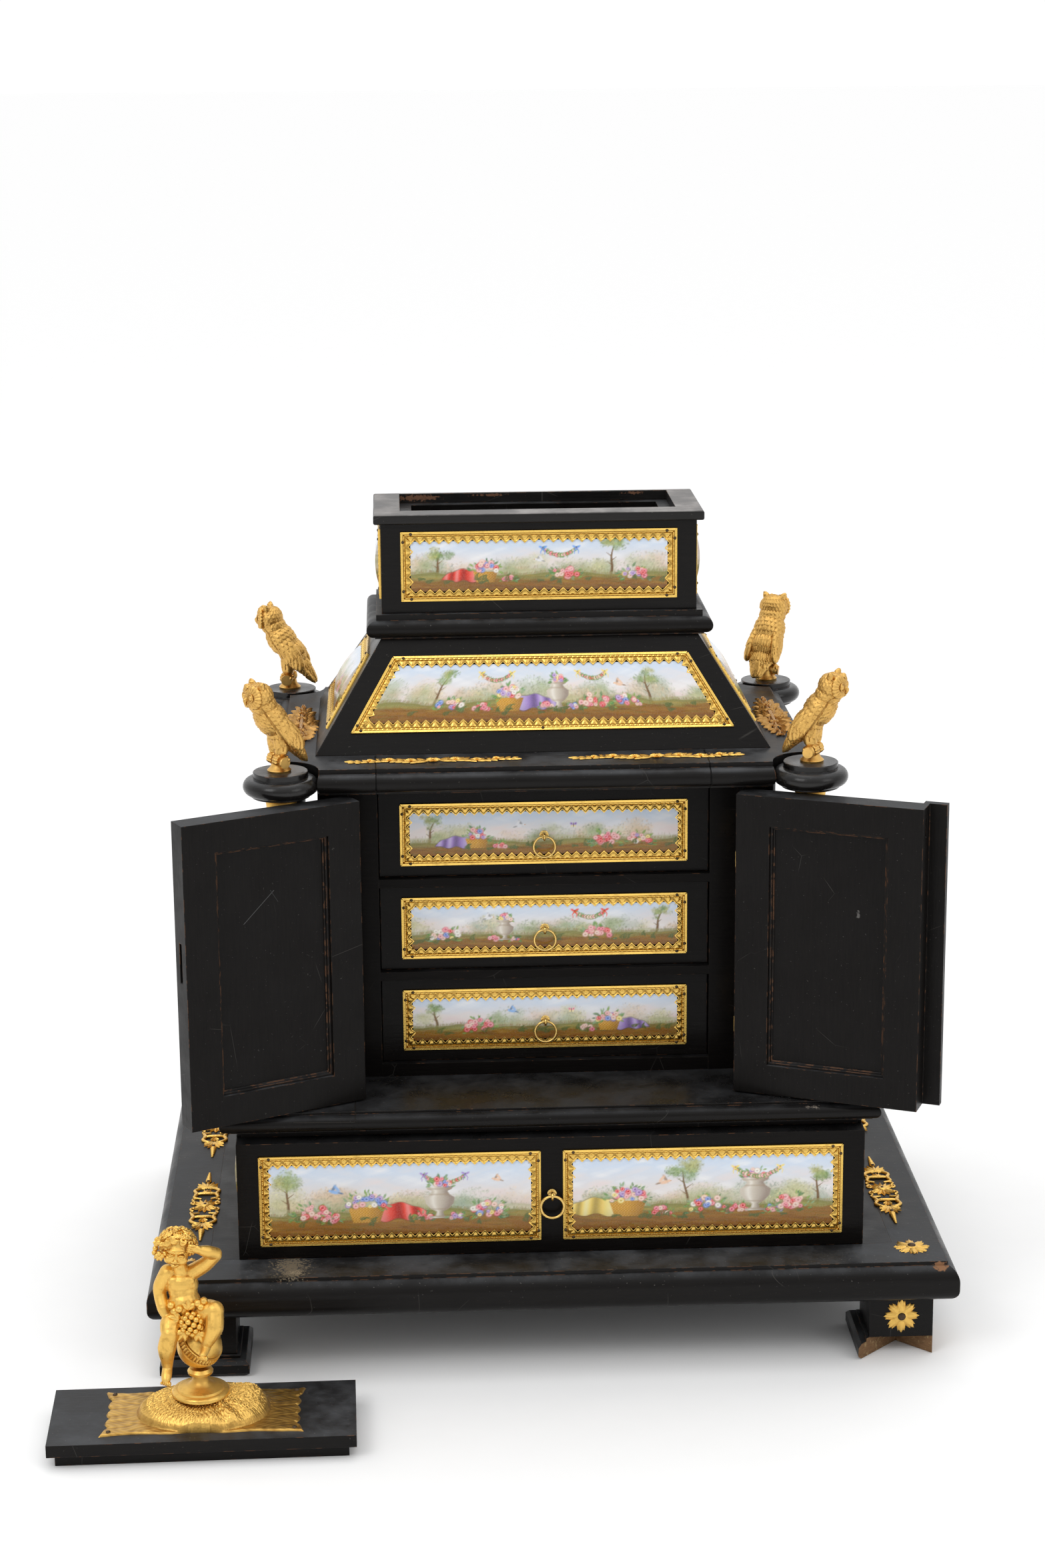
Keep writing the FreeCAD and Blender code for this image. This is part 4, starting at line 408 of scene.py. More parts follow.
class Build:
    """A mesh put together from grids of points in millimetres."""

    def __init__(self):
        self.points = []
        self.faces = []
        self.tone = []
        self.where = []

    def grid(self, rows, round_rows=False, round_columns=False, caps=False, tone=None, where=None):
        """Quads over rows of points; either way may close on itself, and end rows may be capped."""
        rows = np.asarray(rows, float)
        count, width = rows.shape[:2]
        start = len(self.points)
        self.points.extend(rows.reshape(-1, 3).tolist())
        self.tone.extend(np.zeros(count * width) if tone is None else np.asarray(tone, float).ravel())
        self.where.extend(np.zeros((count * width, 2)) if where is None else np.asarray(where).reshape(-1, 2))
        for i in range(count if round_rows else count - 1):
            here, after = start + i * width, start + (i + 1) % count * width
            for j in range(width if round_columns else width - 1):
                beside = (j + 1) % width
                self.faces.append((here + j, here + beside, after + beside, after + j))
        if caps:
            last = start + (count - 1) * width
            self.faces += [tuple(range(start, start + width))[::-1], tuple(range(last, last + width))]
        return self

    def join(self, other, matrix=None):
        """Takes in another build, moved by a matrix in millimetres."""
        start = len(self.points)
        self.points += (other.points if matrix is None
                        else [tuple(matrix @ Vector(spot)) for spot in other.points])
        self.faces.extend(tuple(start + index for index in face) for face in other.faces)
        self.tone.extend(other.tone)
        self.where.extend(other.where)
        return self

    def object(self, name, body, material, replaces=None, smooth=60.0, weld=0.0005):
        """The finished piece: welded, smooth but for its sharp edges, riding on a body."""
        mesh = mesh_of(name, self.points, self.faces)
        tarnish_and_shade(mesh, self.tone)
        layer = mesh.uv_layers.new(name="UVMap")
        corners = np.zeros(len(mesh.loops), np.int32)
        mesh.loops.foreach_get("vertex_index", corners)
        layer.data.foreach_set("uv", np.array(self.where, np.float32)[corners].ravel())
        solid = bmesh.new()
        solid.from_mesh(mesh)
        bmesh.ops.remove_doubles(solid, verts=solid.verts, dist=weld * MM)
        bmesh.ops.dissolve_degenerate(solid, edges=solid.edges, dist=weld * MM * 0.5)
        bmesh.ops.recalc_face_normals(solid, faces=solid.faces)
        solid.to_mesh(mesh)
        solid.free()
        dress(in_scene(name, mesh), body, material, replaces, smooth)


def box_of(node):
    """The two far corners of a CAD node's box."""
    return [Vector(corner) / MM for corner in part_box(node)]


def extent(faces):
    """The corner points of an island's faces, with the least and the greatest of their coordinates."""
    points = np.array([point for face in faces for point in face[2]])
    return points, points.min(0), points.max(0)


def islands(node):
    """The separate solids of a CAD node, each as a list of (normal, area, points) for its faces."""
    solid = bmesh.new()
    solid.from_mesh(NODES[node].data)
    bmesh.ops.remove_doubles(solid, verts=solid.verts, dist=0.001 * MM)
    left = dict.fromkeys(solid.faces)
    found = []
    while left:
        ahead = [left.popitem()[0]]
        group = []
        while ahead:
            face = ahead.pop()
            group.append((face.normal.copy(), face.calc_area() / MM ** 2,
                          [vert.co / MM for vert in face.verts]))
            for beside in (beside for edge in face.edges for beside in edge.link_faces):
                if beside in left:
                    del left[beside]
                    ahead.append(beside)
        found.append(group)
    solid.free()
    return sorted(found, key=lambda group: tuple(np.round(extent(group)[0].mean(0)[[2, 1, 0]], 1)))


class Panel:
    """A flat place on a wall: where a plaque's back lies, with the way across, up and out."""

    def __init__(self, faces):
        flats = {}
        for normal, area, points in faces:
            flats.setdefault(tuple(round(part, 2) for part in normal), []).append((area, normal, points))
        back = max(flats.values(), key=lambda group: sum(row[0] for row in group))
        self.out = -back[0][1].normalized()
        self.across = Vector((0, 0, 1)).cross(self.out).normalized()
        self.up = self.out.cross(self.across)
        flat = np.array([point for row in back for point in row[2]])
        wide, high, deep = (flat @ np.array(way) for way in (self.across, self.up, self.out))
        self.height = high.max() - high.min()
        low_row = wide[high < high.min() + 0.1]
        high_row = wide[high > high.max() - 0.1]
        self.low_half = (low_row.max() - low_row.min()) / 2
        self.high_half = (high_row.max() - high_row.min()) / 2
        self.rise = (extent(faces)[0] @ np.array(self.out)).max() - deep.mean()
        middle = (low_row.max() + low_row.min()) / 2
        self.centre = (self.across * middle + self.up * (high.max() + high.min()) / 2
                       + self.out * float(deep.mean()))

    def point(self, across, up, out=0.0):
        return self.centre + self.across * across + self.up * up + self.out * out

    def outline(self, grow=0.0):
        """The four corners from low left round to high left, grown outwards by a width."""
        tall = self.height / 2
        corners = [Vector(corner) for corner in ((-self.low_half, -tall), (self.low_half, -tall),
                                                 (self.high_half, tall), (-self.high_half, tall))]
        lines = []
        for index, corner in enumerate(corners):
            along = (corners[(index + 1) % 4] - corner).normalized()
            lines.append((corner + Vector((along.y, -along.x)) * grow, along))
        grown = []
        for index in range(4):
            (first, way), (second, other) = lines[index - 1], lines[index]
            turn = way.x * other.y - way.y * other.x
            gap = second - first
            grown.append(first + way * ((gap.x * other.y - gap.y * other.x) / turn))
        return grown


PINKS = ((0.80, 0.28, 0.34), (0.88, 0.52, 0.52), (0.72, 0.12, 0.13), (0.92, 0.68, 0.60))
MIXED = PINKS + ((0.24, 0.34, 0.68), (0.90, 0.74, 0.34), (0.93, 0.88, 0.82), (0.50, 0.36, 0.62))
FEATHERS = ((0.82, 0.82, 0.84), (0.40, 0.55, 0.78), (0.80, 0.62, 0.50), (0.55, 0.60, 0.70))
CLOTHS = ((0.72, 0.13, 0.10), (0.26, 0.42, 0.74), (0.88, 0.72, 0.34), (0.88, 0.46, 0.50), (0.44, 0.34, 0.60))
FAR_LEAVES = ((0.50, 0.52, 0.38), (0.62, 0.60, 0.42), (0.44, 0.50, 0.44), (0.66, 0.56, 0.44),
              (0.36, 0.42, 0.28))
CROWN = ((0.24, 0.32, 0.16), (0.36, 0.42, 0.24), (0.46, 0.46, 0.26))
GREENS = ((0.14, 0.28, 0.12), (0.25, 0.36, 0.14), (0.10, 0.20, 0.12), (0.30, 0.40, 0.30))
BLADES = ((0.20, 0.20, 0.08), (0.36, 0.34, 0.16), (0.30, 0.17, 0.08))
STREAKS = ((0.22, 0.24, 0.09), (0.55, 0.40, 0.16), (0.18, 0.09, 0.04))
# rolls of ground: lift over the level, length and height of swell, colour, its share and how much grass
ROLLS = ((3.4, 75, 2.0, (0.56, 0.57, 0.40), 0.5, 0.25), (1.4, 55, 1.7, (0.34, 0.33, 0.14), 0.85, 0.75),
         (-1.8, 40, 1.3, (0.36, 0.20, 0.07), 0.8, 0.55))
# half width of an urn at shares of its height
URN = ((0.0, 0.30), (0.07, 0.30), (0.09, 0.14), (0.22, 0.10), (0.30, 0.26), (0.48, 0.42), (0.66, 0.45),
       (0.76, 0.30), (0.86, 0.24), (0.93, 0.38), (1.0, 0.40))


def toned(colour, share, light=0.0):
    """A colour made darker by a share, or paler where light is added."""
    return tuple(part * share + light for part in colour)


def clip(given, low=0, high=1):
    return np.clip(given, low, high)


class Painting:
    """Colours on a grid over a panel, laid on with soft strokes; places are counted from its middle."""

    def __init__(self, panel, pitch, seed):
        self.half = max(panel.low_half, panel.high_half)
        self.tall = panel.height / 2
        self.across, self.up = (np.linspace(-reach, reach, int(2 * reach / pitch) + 1)
                                for reach in (self.half, self.tall))
        self.u, self.v = np.meshgrid(self.across, self.up)
        self.colour = np.zeros((*self.u.shape, 3))
        self.chance = random.Random(seed)
        self.any = self.chance.uniform
        self.one = self.chance.choice

    def ripple(self, where, size):
        """A smooth random line: sines of unlike lengths."""
        total = np.zeros_like(where)
        for share in (1.0, 0.53, 0.27, 0.13):
            phase = self.any(0, TAU)
            total += share * np.sin(where * TAU / (size * share * self.any(0.8, 1.3)) + phase)
        return total / 2

    def wash(self, mask, colour):
        self.colour += mask[..., None] * (np.array(colour) - self.colour)

    def blot(self, x, y, wide, high, colour, strength=0.9, turn=0.0, hard=2.0):
        """One elliptical touch of the brush."""
        reach = max(wide, high) * 1.5
        i0, i1 = np.searchsorted(self.across, (x - reach, x + reach))
        j0, j1 = np.searchsorted(self.up, (y - reach, y + reach))
        if i0 >= i1 or j0 >= j1:
            return
        u, v = np.meshgrid(self.across[i0:i1] - x, self.up[j0:j1] - y)
        c, s = math.cos(turn), math.sin(turn)
        far = ((u * c + v * s) / wide) ** 2 + ((v * c - u * s) / high) ** 2
        mask = strength * np.exp(-far ** hard)
        part = self.colour[j0:j1, i0:i1]
        part += mask[..., None] * (np.array(colour) - part)

    def line(self, points, width, colour, strength=0.8):
        """A brush line through points, thinning towards its end."""
        legs = [(start, end, max(2, int(math.dist(start, end) / 0.3)))
                for start, end in zip(points, points[1:])]
        count = sum(steps for *_, steps in legs)
        done = 0
        for (x0, y0), (x1, y1), steps in legs:
            for step in range(steps):
                share = step / steps
                thick = width * (1 - 0.6 * done / count)
                self.blot(x0 + (x1 - x0) * share, y0 + (y1 - y0) * share, thick, thick, colour, strength)
                done += 1

    def sky(self):
        """Pale blue above, through white to a warm haze over the hills."""
        height = (self.v / self.tall + 1) / 2
        cloud = (self.ripple(self.u + 3 * self.v, 46) + self.ripple(self.v * 1.7 - self.u * 0.6, 21)) / 2
        for mask, colour in ((np.ones_like(height), (0.80, 0.80, 0.80)),
                             (clip(1.2 - height * 1.4) * 0.7, (0.80, 0.68, 0.64)),
                             (clip(height * 1.7 - 0.95 + 0.3 * cloud) * 0.6, (0.44, 0.60, 0.82)),
                             (clip(cloud * 0.9, 0, 0.8) * clip(height * 2), (0.90, 0.89, 0.88)),
                             (clip(-cloud * 0.7 - 0.1, 0, 0.5) * (1 - height), (0.80, 0.58, 0.60))):
            self.wash(mask, colour)

    def bush(self, x, y, size, colours, dense=1.0):
        """Distant leaves: a soft ground tone, then many small touches lighter and darker than it."""
        base = np.array(self.one(colours))
        for _ in range(int(5 + size * dense)):
            turn = self.any(0, TAU)
            far = size * 0.7 * math.sqrt(self.chance.random())
            self.blot(x + far * 1.3 * math.cos(turn), y + far * math.sin(turn) * 0.8,
                      size * self.any(0.3, 0.55), size * self.any(0.2, 0.4),
                      base * self.any(0.9, 1.15), 0.3 * dense, 0, 1.0)
        for _ in range(int(size * size * 3.4 * dense)):
            turn = self.any(0, TAU)
            far = size * math.sqrt(self.chance.random())
            shade = clip(base * self.one((0.55, 0.7, 0.85, 1.15, 1.35)), 0, 0.92)
            self.blot(x + far * 1.3 * math.cos(turn), y + far * math.sin(turn) * 0.85, self.any(0.4, 0.75),
                      self.any(0.2, 0.35), shade, self.any(0.2, 0.5) * dense, self.any(0, math.pi), 1.3)

    def hills(self, level):
        """Three rolls of ground in grey green, olive and ochre, each with blades of grass on its ridge."""
        for lift, size, swell, colour, share, grass in ROLLS:
            ridge = level + (lift + self.ripple(self.across, size) * swell) * min(1.0, self.tall / 14)
            self.wash(clip((ridge[None] - self.v) * 1.6) * share, colour)
            self.wash(np.exp(-((ridge[None] - 0.9 - self.v) / 1.1) ** 2) * 0.45 * grass, (0.13, 0.12, 0.05))
            for x, y in zip(self.across, ridge):
                if self.chance.random() < grass:
                    tall = self.any(0.35, 1.0)
                    self.blot(x, y + tall * 0.6, 0.2, tall, self.one(BLADES), 0.5 * grass + 0.1,
                              self.any(-0.6, 0.3), 1.2)
        depth = clip((level - self.v) / (level + self.tall + 0.1))
        streak = self.ripple(self.u * 0.3 + self.v * 4.0, 17) * 0.5 + 0.5
        self.wash(depth * 0.8, (0.30, 0.13, 0.035))
        self.wash(clip(depth * 1.4) * streak * 0.4, (0.60, 0.38, 0.14))
        for _ in range(int(self.half * 3)):
            self.blot(self.any(-self.half, self.half), self.any(-self.tall, level), self.any(1.5, 5),
                      self.any(0.2, 0.5), self.one(STREAKS), 0.3, self.any(-0.15, 0.15), 1.2)

    def fern(self, x, y, reach, lean):
        """A bent stem with small leaves on both sides."""
        for step in range(14):
            share = step / 13
            length = 1.5 * (1 - share * 0.7)
            px = x + reach * share * math.sin(lean + share * 0.9)
            py = y + reach * share * math.cos(lean + share * 0.9)
            for side in SIDES:
                self.blot(px + side * length * 0.6 * math.cos(lean), py + length * 0.3, length * 0.7, 0.24,
                          (0.16, 0.19, 0.08), 0.65, QUARTER - (lean + side * 0.9))

    def leaf(self, x, y, size, turn, colour=(0.16, 0.30, 0.12)):
        self.blot(x, y, size, size * 0.42, colour, 0.95, turn)
        self.blot(x, y, size * 0.85, size * 0.12, (0.50, 0.58, 0.30), 0.6, turn)

    def rose(self, x, y, size, colour):
        """A round flower: a dark cup, lighter petals round it and a pale lip."""
        dark, pale = toned(colour, 0.45), toned(colour, 0.5, 0.44)
        self.blot(x, y - size * 0.1, size * 1.1, size, dark, 0.55, 0, 2)
        self.blot(x, y, size, size * 0.92, colour, 0.98, 0, 3)
        for petal in range(6):
            turn = petal * TAU / 6 + self.any(0, 0.8)
            self.blot(x + 0.58 * size * math.cos(turn), y + 0.52 * size * math.sin(turn),
                      size * 0.42, size * 0.2, pale, 0.8, turn + QUARTER)
        self.blot(x, y, size * 0.36, size * 0.3, dark, 0.75)
        self.blot(x + size * 0.1, y + size * 0.14, size * 0.16, size * 0.1, pale, 0.8)

    def bouquet(self, x, y, size, colours):
        """Flowers and leaves heaped into a low dome with a few trailing sprigs."""
        for _ in range(int(size * 4.4)):
            turn = self.any(-0.35, math.pi + 0.35)
            far = size * self.any(0.5, 1.15)
            self.leaf(x + far * 1.2 * math.cos(turn), y + far * 0.9 * math.sin(turn), self.any(0.8, 1.5),
                      turn + self.any(-0.6, 0.6), self.one(GREENS))
        for _ in range(int(size * 3.0)):
            turn = self.any(0, math.pi)
            far = size * math.sqrt(self.chance.random()) * 0.92
            self.rose(x + far * 1.15 * math.cos(turn), y + far * 0.85 * math.sin(turn),
                      self.any(0.8, 1.5) * (0.75 + size / 20), self.one(colours))

    def swag(self, x, y, wide, drop, colours):
        """A garland of small flowers and leaves that hangs between two ribbon bows."""
        for step in range(int(wide * 1.5)):
            share = step / (wide * 1.5 - 1) * 2 - 1
            px, py = x + share * wide / 2, y - drop * (1 - share * share)
            for way in SIDES:
                self.leaf(px, py + way * 0.5, self.any(0.7, 1.15), way * self.any(0.3, 1.2))
            if step % 2 == 0:
                self.rose(px, py, self.any(0.6, 1.1), self.one(colours))
        tint = self.one(CLOTHS)
        for px in (x - wide / 2, x + wide / 2):
            for way in SIDES:
                self.blot(px + way * 1.1, y + 0.7, 1.1, 0.55, tint, 0.9, way * 0.5)
                self.line([(px, y), (px + way * 1.2, y - 1.6), (px + way * 0.7, y - 3.4)], 0.36, tint, 0.85)
            self.blot(px, y + 0.3, 0.45, 0.45, toned(tint, 0.5), 0.9)

    def cloth(self, x, foot, length, high, colour, way):
        """A cloth thrown over a bank, its folds running down from the top."""
        s = (self.u - x) / length * way + 0.5
        within = clip(s)
        level = self.v - foot
        top = high * (np.sin(math.pi * within) ** 0.8 * (0.62 + 0.5 * within) + 0.05 * np.sin(within * 23))
        low = -0.16 * high * (1 + np.sin(within * 19) * 0.7) * np.sin(math.pi * within)
        mask, shadow = (clip((top + grow - level) * 2) * clip((level - low + grow) * 2) * (s > 0) * (s < 1)
                        for grow in (0.0, 0.5))
        fold = 0.5 + 0.5 * np.sin(within * 21 + level / high * 2.6 * (within - 0.4)
                                  + 1.5 * np.sin(within * 8))
        self.wash(shadow * 0.5, toned(colour, 0.25))
        self.wash(mask, colour)
        self.wash(mask * (1 - fold) ** 2 * 0.7, toned(colour, 0.35))
        self.wash(mask * fold ** 3 * 0.6, toned(colour, 0.45, 0.48))

    def tree(self, x, foot, high, lean):
        """A slender tree with a dappled crown."""
        path = [(x + lean * high * share ** 1.5 + 0.4 * math.sin(share * 7), foot + high * 0.8 * share)
                for share in np.linspace(0, 1, 7)]
        self.line(path, 0.75, (0.20, 0.13, 0.07), 0.8)
        for start, side in ((path[2], -1), (path[3], 1), (path[4], -1)):
            tip = (start[0] + side * high * 0.16, start[1] + high * 0.12)
            self.line([start, tip], 0.35, (0.24, 0.16, 0.09), 0.7)
        for _ in range(7):
            self.bush(x + lean * high + self.any(-0.26, 0.26) * high, foot + high * self.any(0.62, 1.0),
                      high * self.any(0.12, 0.19), CROWN, 1.1)

    def urn(self, x, foot, height):
        """A stone garden urn on a square foot, lit from the left."""
        level = (self.v - foot) / height
        half = np.interp(level, *zip(*URN)) * height
        inside = clip((half - np.abs(self.u - x)) * 2.2) * (level > 0) * (level < 1)
        lit = clip((self.u - x) / np.maximum(half, 0.1), -1, 1)
        self.wash(inside, (0.66, 0.62, 0.56))
        self.wash(inside * clip(lit * 0.85 + 0.12, 0, 0.75), (0.30, 0.25, 0.22))
        self.wash(inside * clip(0.6 - np.abs(lit + 0.45) * 2, 0, 0.6), (0.92, 0.90, 0.86))
        for band in (0.07, 0.30, 0.76, 0.93):
            self.wash(inside * np.exp(-((level - band) * height * 2.2) ** 2) * 0.5, (0.42, 0.35, 0.28))

    def basket(self, x, foot, wide, high):
        """A round basket of woven cane."""
        half = wide * (0.72 + 0.28 * clip((self.v - foot) / high))
        inside = clip((half - np.abs(self.u - x)) * 2.2) * (self.v > foot) * (self.v < foot + high)
        weave = 0.5 + 0.5 * np.sin(self.u * 4.2 + np.floor(self.v * 1.5) * math.pi)
        self.wash(inside, (0.50, 0.30, 0.10))
        self.wash(inside * weave * 0.6, (0.80, 0.60, 0.28))
        self.wash(inside * clip((self.u - x) / wide) * 0.6, (0.22, 0.12, 0.05))

    def bird(self, x, y, size, colour, way=1):
        """A small bird on the wing."""
        dark = toned(colour, 0.5)
        for side, turn, tint in ((1, 2.1, dark), (-1, 0.9, colour)):
            self.blot(x - way * size * 0.1 + side * way * 0.3 * size, y + size * 0.62,
                      size * 0.85, size * 0.27, tint, 0.9, turn if way > 0 else math.pi - turn, 2.5)
        self.blot(x, y, size * 0.85, size * 0.34, colour, 0.95, way * 0.2, 2.5)
        self.blot(x - way * size * 1.05, y - size * 0.22, size * 0.5, size * 0.17, dark, 0.9, way * 0.25, 2.5)
        self.blot(x + way * size * 0.85, y + size * 0.26, size * 0.26, size * 0.24, colour, 0.95, 0, 3)
        self.blot(x + way * size * 1.15, y + size * 0.24, size * 0.14, size * 0.06, (0.55, 0.3, 0.1), 0.9)

    def butterfly(self, x, y, size, colour):
        for side in SIDES:
            for right, high, wide, tall, tint, strength, turn, hard in (
                    (0.6, 0.35, 0.62, 0.42, colour, 0.95, 0.8, 3),
                    (0.5, -0.35, 0.42, 0.34, (0.90, 0.80, 0.55), 0.9, -0.6, 3),
                    (0.7, 0.4, 0.18, 0.14, (0.2, 0.15, 0.3), 0.8, 0.0, 2.0)):
                self.blot(x + side * size * right, y + size * high, size * wide, size * tall, tint, strength,
                          side * turn, hard)
        self.blot(x, y, size * 0.12, size * 0.75, (0.18, 0.12, 0.1), 0.95)

    def motif(self, kind, x, foot, size):
        """One named group, standing at a foot."""
        way = self.one(SIDES)
        if kind == "urn":
            self.bouquet(x - size * 0.5, foot - 1.2, size * 0.26, PINKS)
            self.urn(x, foot - 1.5, size)
            self.bouquet(x, foot - 1.2 + size, size * 0.3, MIXED)
            self.bouquet(x + size * 0.5, foot - 1.6, size * 0.22, MIXED)
        elif kind == "basket":
            self.cloth(x + way * size * 0.7, foot - 0.5, size * 2.2, size * 0.5, self.one(CLOTHS), way)
            self.basket(x, foot - size * 0.16, size * 0.52, size * 0.46)
            self.bouquet(x, foot + size * 0.32, size * 0.48, MIXED)
            self.bouquet(x - way * size * 0.95, foot - size * 0.1, size * 0.26, PINKS)
        elif kind in ("flowers", "mixed"):
            self.bouquet(x, foot, size, PINKS if kind == "flowers" else MIXED)
        elif kind == "swag":
            self.swag(x, self.tall * 0.66, size * 2.2, size * 0.45, PINKS)
        elif kind == "bird":
            self.bird(x, self.tall * self.any(0.2, 0.5), size, self.one(FEATHERS), way)
        elif kind == "butterfly":
            self.butterfly(x, self.tall * 0.35, size, self.one(CLOTHS))


def paint_landscape(panel, seed, pitch, garden):
    """A pastel garden: sky, far bushes, ground and a few groups of flowers, cloth, birds and stonework."""
    art = Painting(panel, pitch, seed)
    art.sky()
    level = -art.tall * 0.40
    size = min(art.tall, 17)
    for _ in range(int(art.half / 2.4)):
        x = art.any(-art.half, art.half)
        high = art.any(0.3, 0.62) * size
        art.bush(x, level + high * art.any(0.3, 0.95), high, FAR_LEAVES, art.any(0.55, 1.0))
    motifs = [(kind, float(share), float(much)) for kind, share, much in map(str.split, garden.split(","))]
    for kind, share, much in motifs:
        if kind == "tree":
            art.tree(share * art.half, level, much * size, art.any(-0.2, 0.2))
    art.hills(level)
    for kind, share, much in motifs:
        wide = 1.25 if kind in ("basket", "flowers", "mixed") else 1.0
        art.motif(kind, share * art.half, level - 0.1 * size, wide * much * size)
    for _ in range(int(art.half / 4)):
        art.fern(art.any(-art.half, art.half), level - art.any(0.15, 0.4) * size, art.any(2.0, 4.0),
                 art.any(-1.1, 0.6))
    grey = art.colour.mean(axis=2, keepdims=True)
    shade = np.interp(art.up, (-art.tall, level, art.tall), (0.55, 0.92, 0.97))[:, None, None]
    art.colour = 0.88 * (clip(grey + (art.colour - grey) * 1.4, 0.004, 0.88) / 0.88) ** 1.25 * shade
    return art


def plaque_piece(name, panel, body, seed, pitch, garden, replaces=None):
    """A crowned enamel plaque with its painting, closed down to the wall at its four edges."""
    art = paint_landscape(panel, seed, pitch, garden)
    edge = min(0.7, panel.rise)
    rows = []
    for up in art.up:
        share = up / art.tall
        half = panel.low_half + (panel.high_half - panel.low_half) * (share + 1) / 2
        out = edge + (panel.rise - edge) * (1 - share * share)
        line = [panel.point(across / art.half * half, up, out) for across in art.across]
        rows.append([panel.point(-half, up), *line, panel.point(half, up)])
    for end, height in ((0, -art.tall), (-1, art.tall)):
        foot = [panel.point((point - panel.centre).dot(panel.across), height) for point in rows[end]]
        rows.insert(0 if end == 0 else len(rows), foot)
    build = Build().grid([[tuple(point) for point in row] for row in rows])
    mesh = mesh_of(name, build.points, build.faces)
    flat = np.ones((len(build.points), 4), np.float32)
    flat[:, :3] = np.pad(art.colour, ((1, 1), (1, 1), (0, 0)), mode="edge").reshape(-1, 3)
    mesh.color_attributes.new("Paint", "FLOAT_COLOR", "POINT").data.foreach_set("color", flat.ravel())
    dress(in_scene(name, mesh), body, ENAMEL, replaces, 50.0)


def lathe(rings, around=48, centre=(0, 0, 0)):
    """A turned form from (radius, height) pairs."""
    x, y, z = centre
    rows = [[(x + radius * c, y + radius * s, z + height) for c, s in circle(around)]
            for radius, height in rings]
    return Build().grid(rows, round_columns=True, caps=True)


def dome(radius, height, around=10, levels=3):
    """A low round head, its foot on the ground plane."""
    leans = [QUARTER * level / levels for level in range(levels)]
    rings = [(radius * math.cos(lean), height * math.sin(lean)) for lean in leans]
    return lathe([*rings, (radius * 0.02, height)], around)


def ball(centre, radii, turn=None, around=20, levels=12):
    """An ellipsoid, turned by a matrix where it has one."""
    wide, deep, tall = radii if isinstance(radii, tuple) else (radii,) * 3
    rows = []
    for level in range(levels + 1):
        lean = math.pi * (level / levels - 0.5)
        ring = max(math.cos(lean), 0.004)
        rows.append([(wide * ring * c, deep * ring * s, tall * math.sin(lean)) for c, s in circle(around)])
    build = Build().grid(rows, round_columns=True, caps=True)
    return Build().join(build, moved(*centre) @ (turn or Matrix.Identity(4)))


def tube(path, radius, around=10, closed=False):
    """A round bar along a path of points; its radius may be a list."""
    points = [Vector(point) for point in path]
    count = len(points)
    radii = [radius] * count if isinstance(radius, (int, float)) else radius
    rows = []
    side = None
    for index, point in enumerate(points):
        before = points[index - 1] if closed or index else point
        after = points[(index + 1) % count] if closed or index < count - 1 else point
        way = (after - before).normalized()
        if side is None:
            side = way.orthogonal().normalized()
        side = (side - way * side.dot(way)).normalized()
        other = way.cross(side)
        rows.append([tuple(point + (side * c + other * s) * radii[index]) for c, s in circle(around)])
    return Build().grid(rows, round_rows=closed, round_columns=True, caps=not closed)


def hoop(centre, radius, steps, axis, wire, around):
    """A ring of wire round the X or the Y axis."""
    offsets = [(0, a, b) if axis == "X" else (a, 0, b)
               for a, b in ((radius * c, radius * s) for c, s in circle(steps))]
    return tube([Vector(centre) + Vector(offset) for offset in offsets], wire, around, True)


def bent(points, steps=8):
    """A smooth path through points."""
    points = [Vector(point) for point in points]
    path = []
    for index in range(len(points) - 1):
        before = points[max(index - 1, 0)]
        start, end = points[index], points[index + 1]
        after = points[min(index + 2, len(points) - 1)]
        for t in (step / steps for step in range(steps)):
            path.append(0.5 * (2 * start + (end - before) * t
                               + (2 * before - 5 * start + 4 * end - after) * t * t
                               + (3 * start - before - 3 * end + after) * t ** 3))
    return path + [points[-1]]


def limb(points, radii, around=16, steps=8):
    """A bending limb with round ends, its thickness running through the given radii."""
    path = bent(points, steps)
    thick = np.interp(np.linspace(0, len(radii) - 1, len(path)), range(len(radii)), radii)
    build = tube(path, thick, around)
    for end in (0, -1):
        build.join(ball(path[end], (thick[end],) * 3, None, around, 10))
    return build


def add_forms(build, rows, at=lambda *place: place):
    """Adds balls, given as (centre, radii, turn), and limbs, given as (points, radii, around)."""
    for where, radii, *rest in rows:
        if isinstance(where[0], tuple):
            build.join(limb([at(*point) for point in where], radii, *rest))
        else:
            build.join(ball(at(*where), radii, *rest))


def petal(length, wide, lift, tip, rows=6, columns=5):
    """A raised petal or leaf that lies along +X from the origin, with a ridge down its middle."""
    grid = []
    for share in (i / rows for i in range(rows + 1)):
        half = wide / 2 * math.sin(math.pi * min(0.06 + share ** 0.8 * 0.94, 1.0)) ** 0.7 + 0.02
        line = []
        for side in (2 * j / (columns - 1) - 1 for j in range(columns)):
            ridge = lift * (1 - abs(side) ** 1.5) * (0.4 + 0.6 * math.sin(math.pi * (0.15 + 0.8 * share)))
            line.append((length * share, half * side, ridge + tip * share))
        grid.append(line)
    return Build().grid(grid)


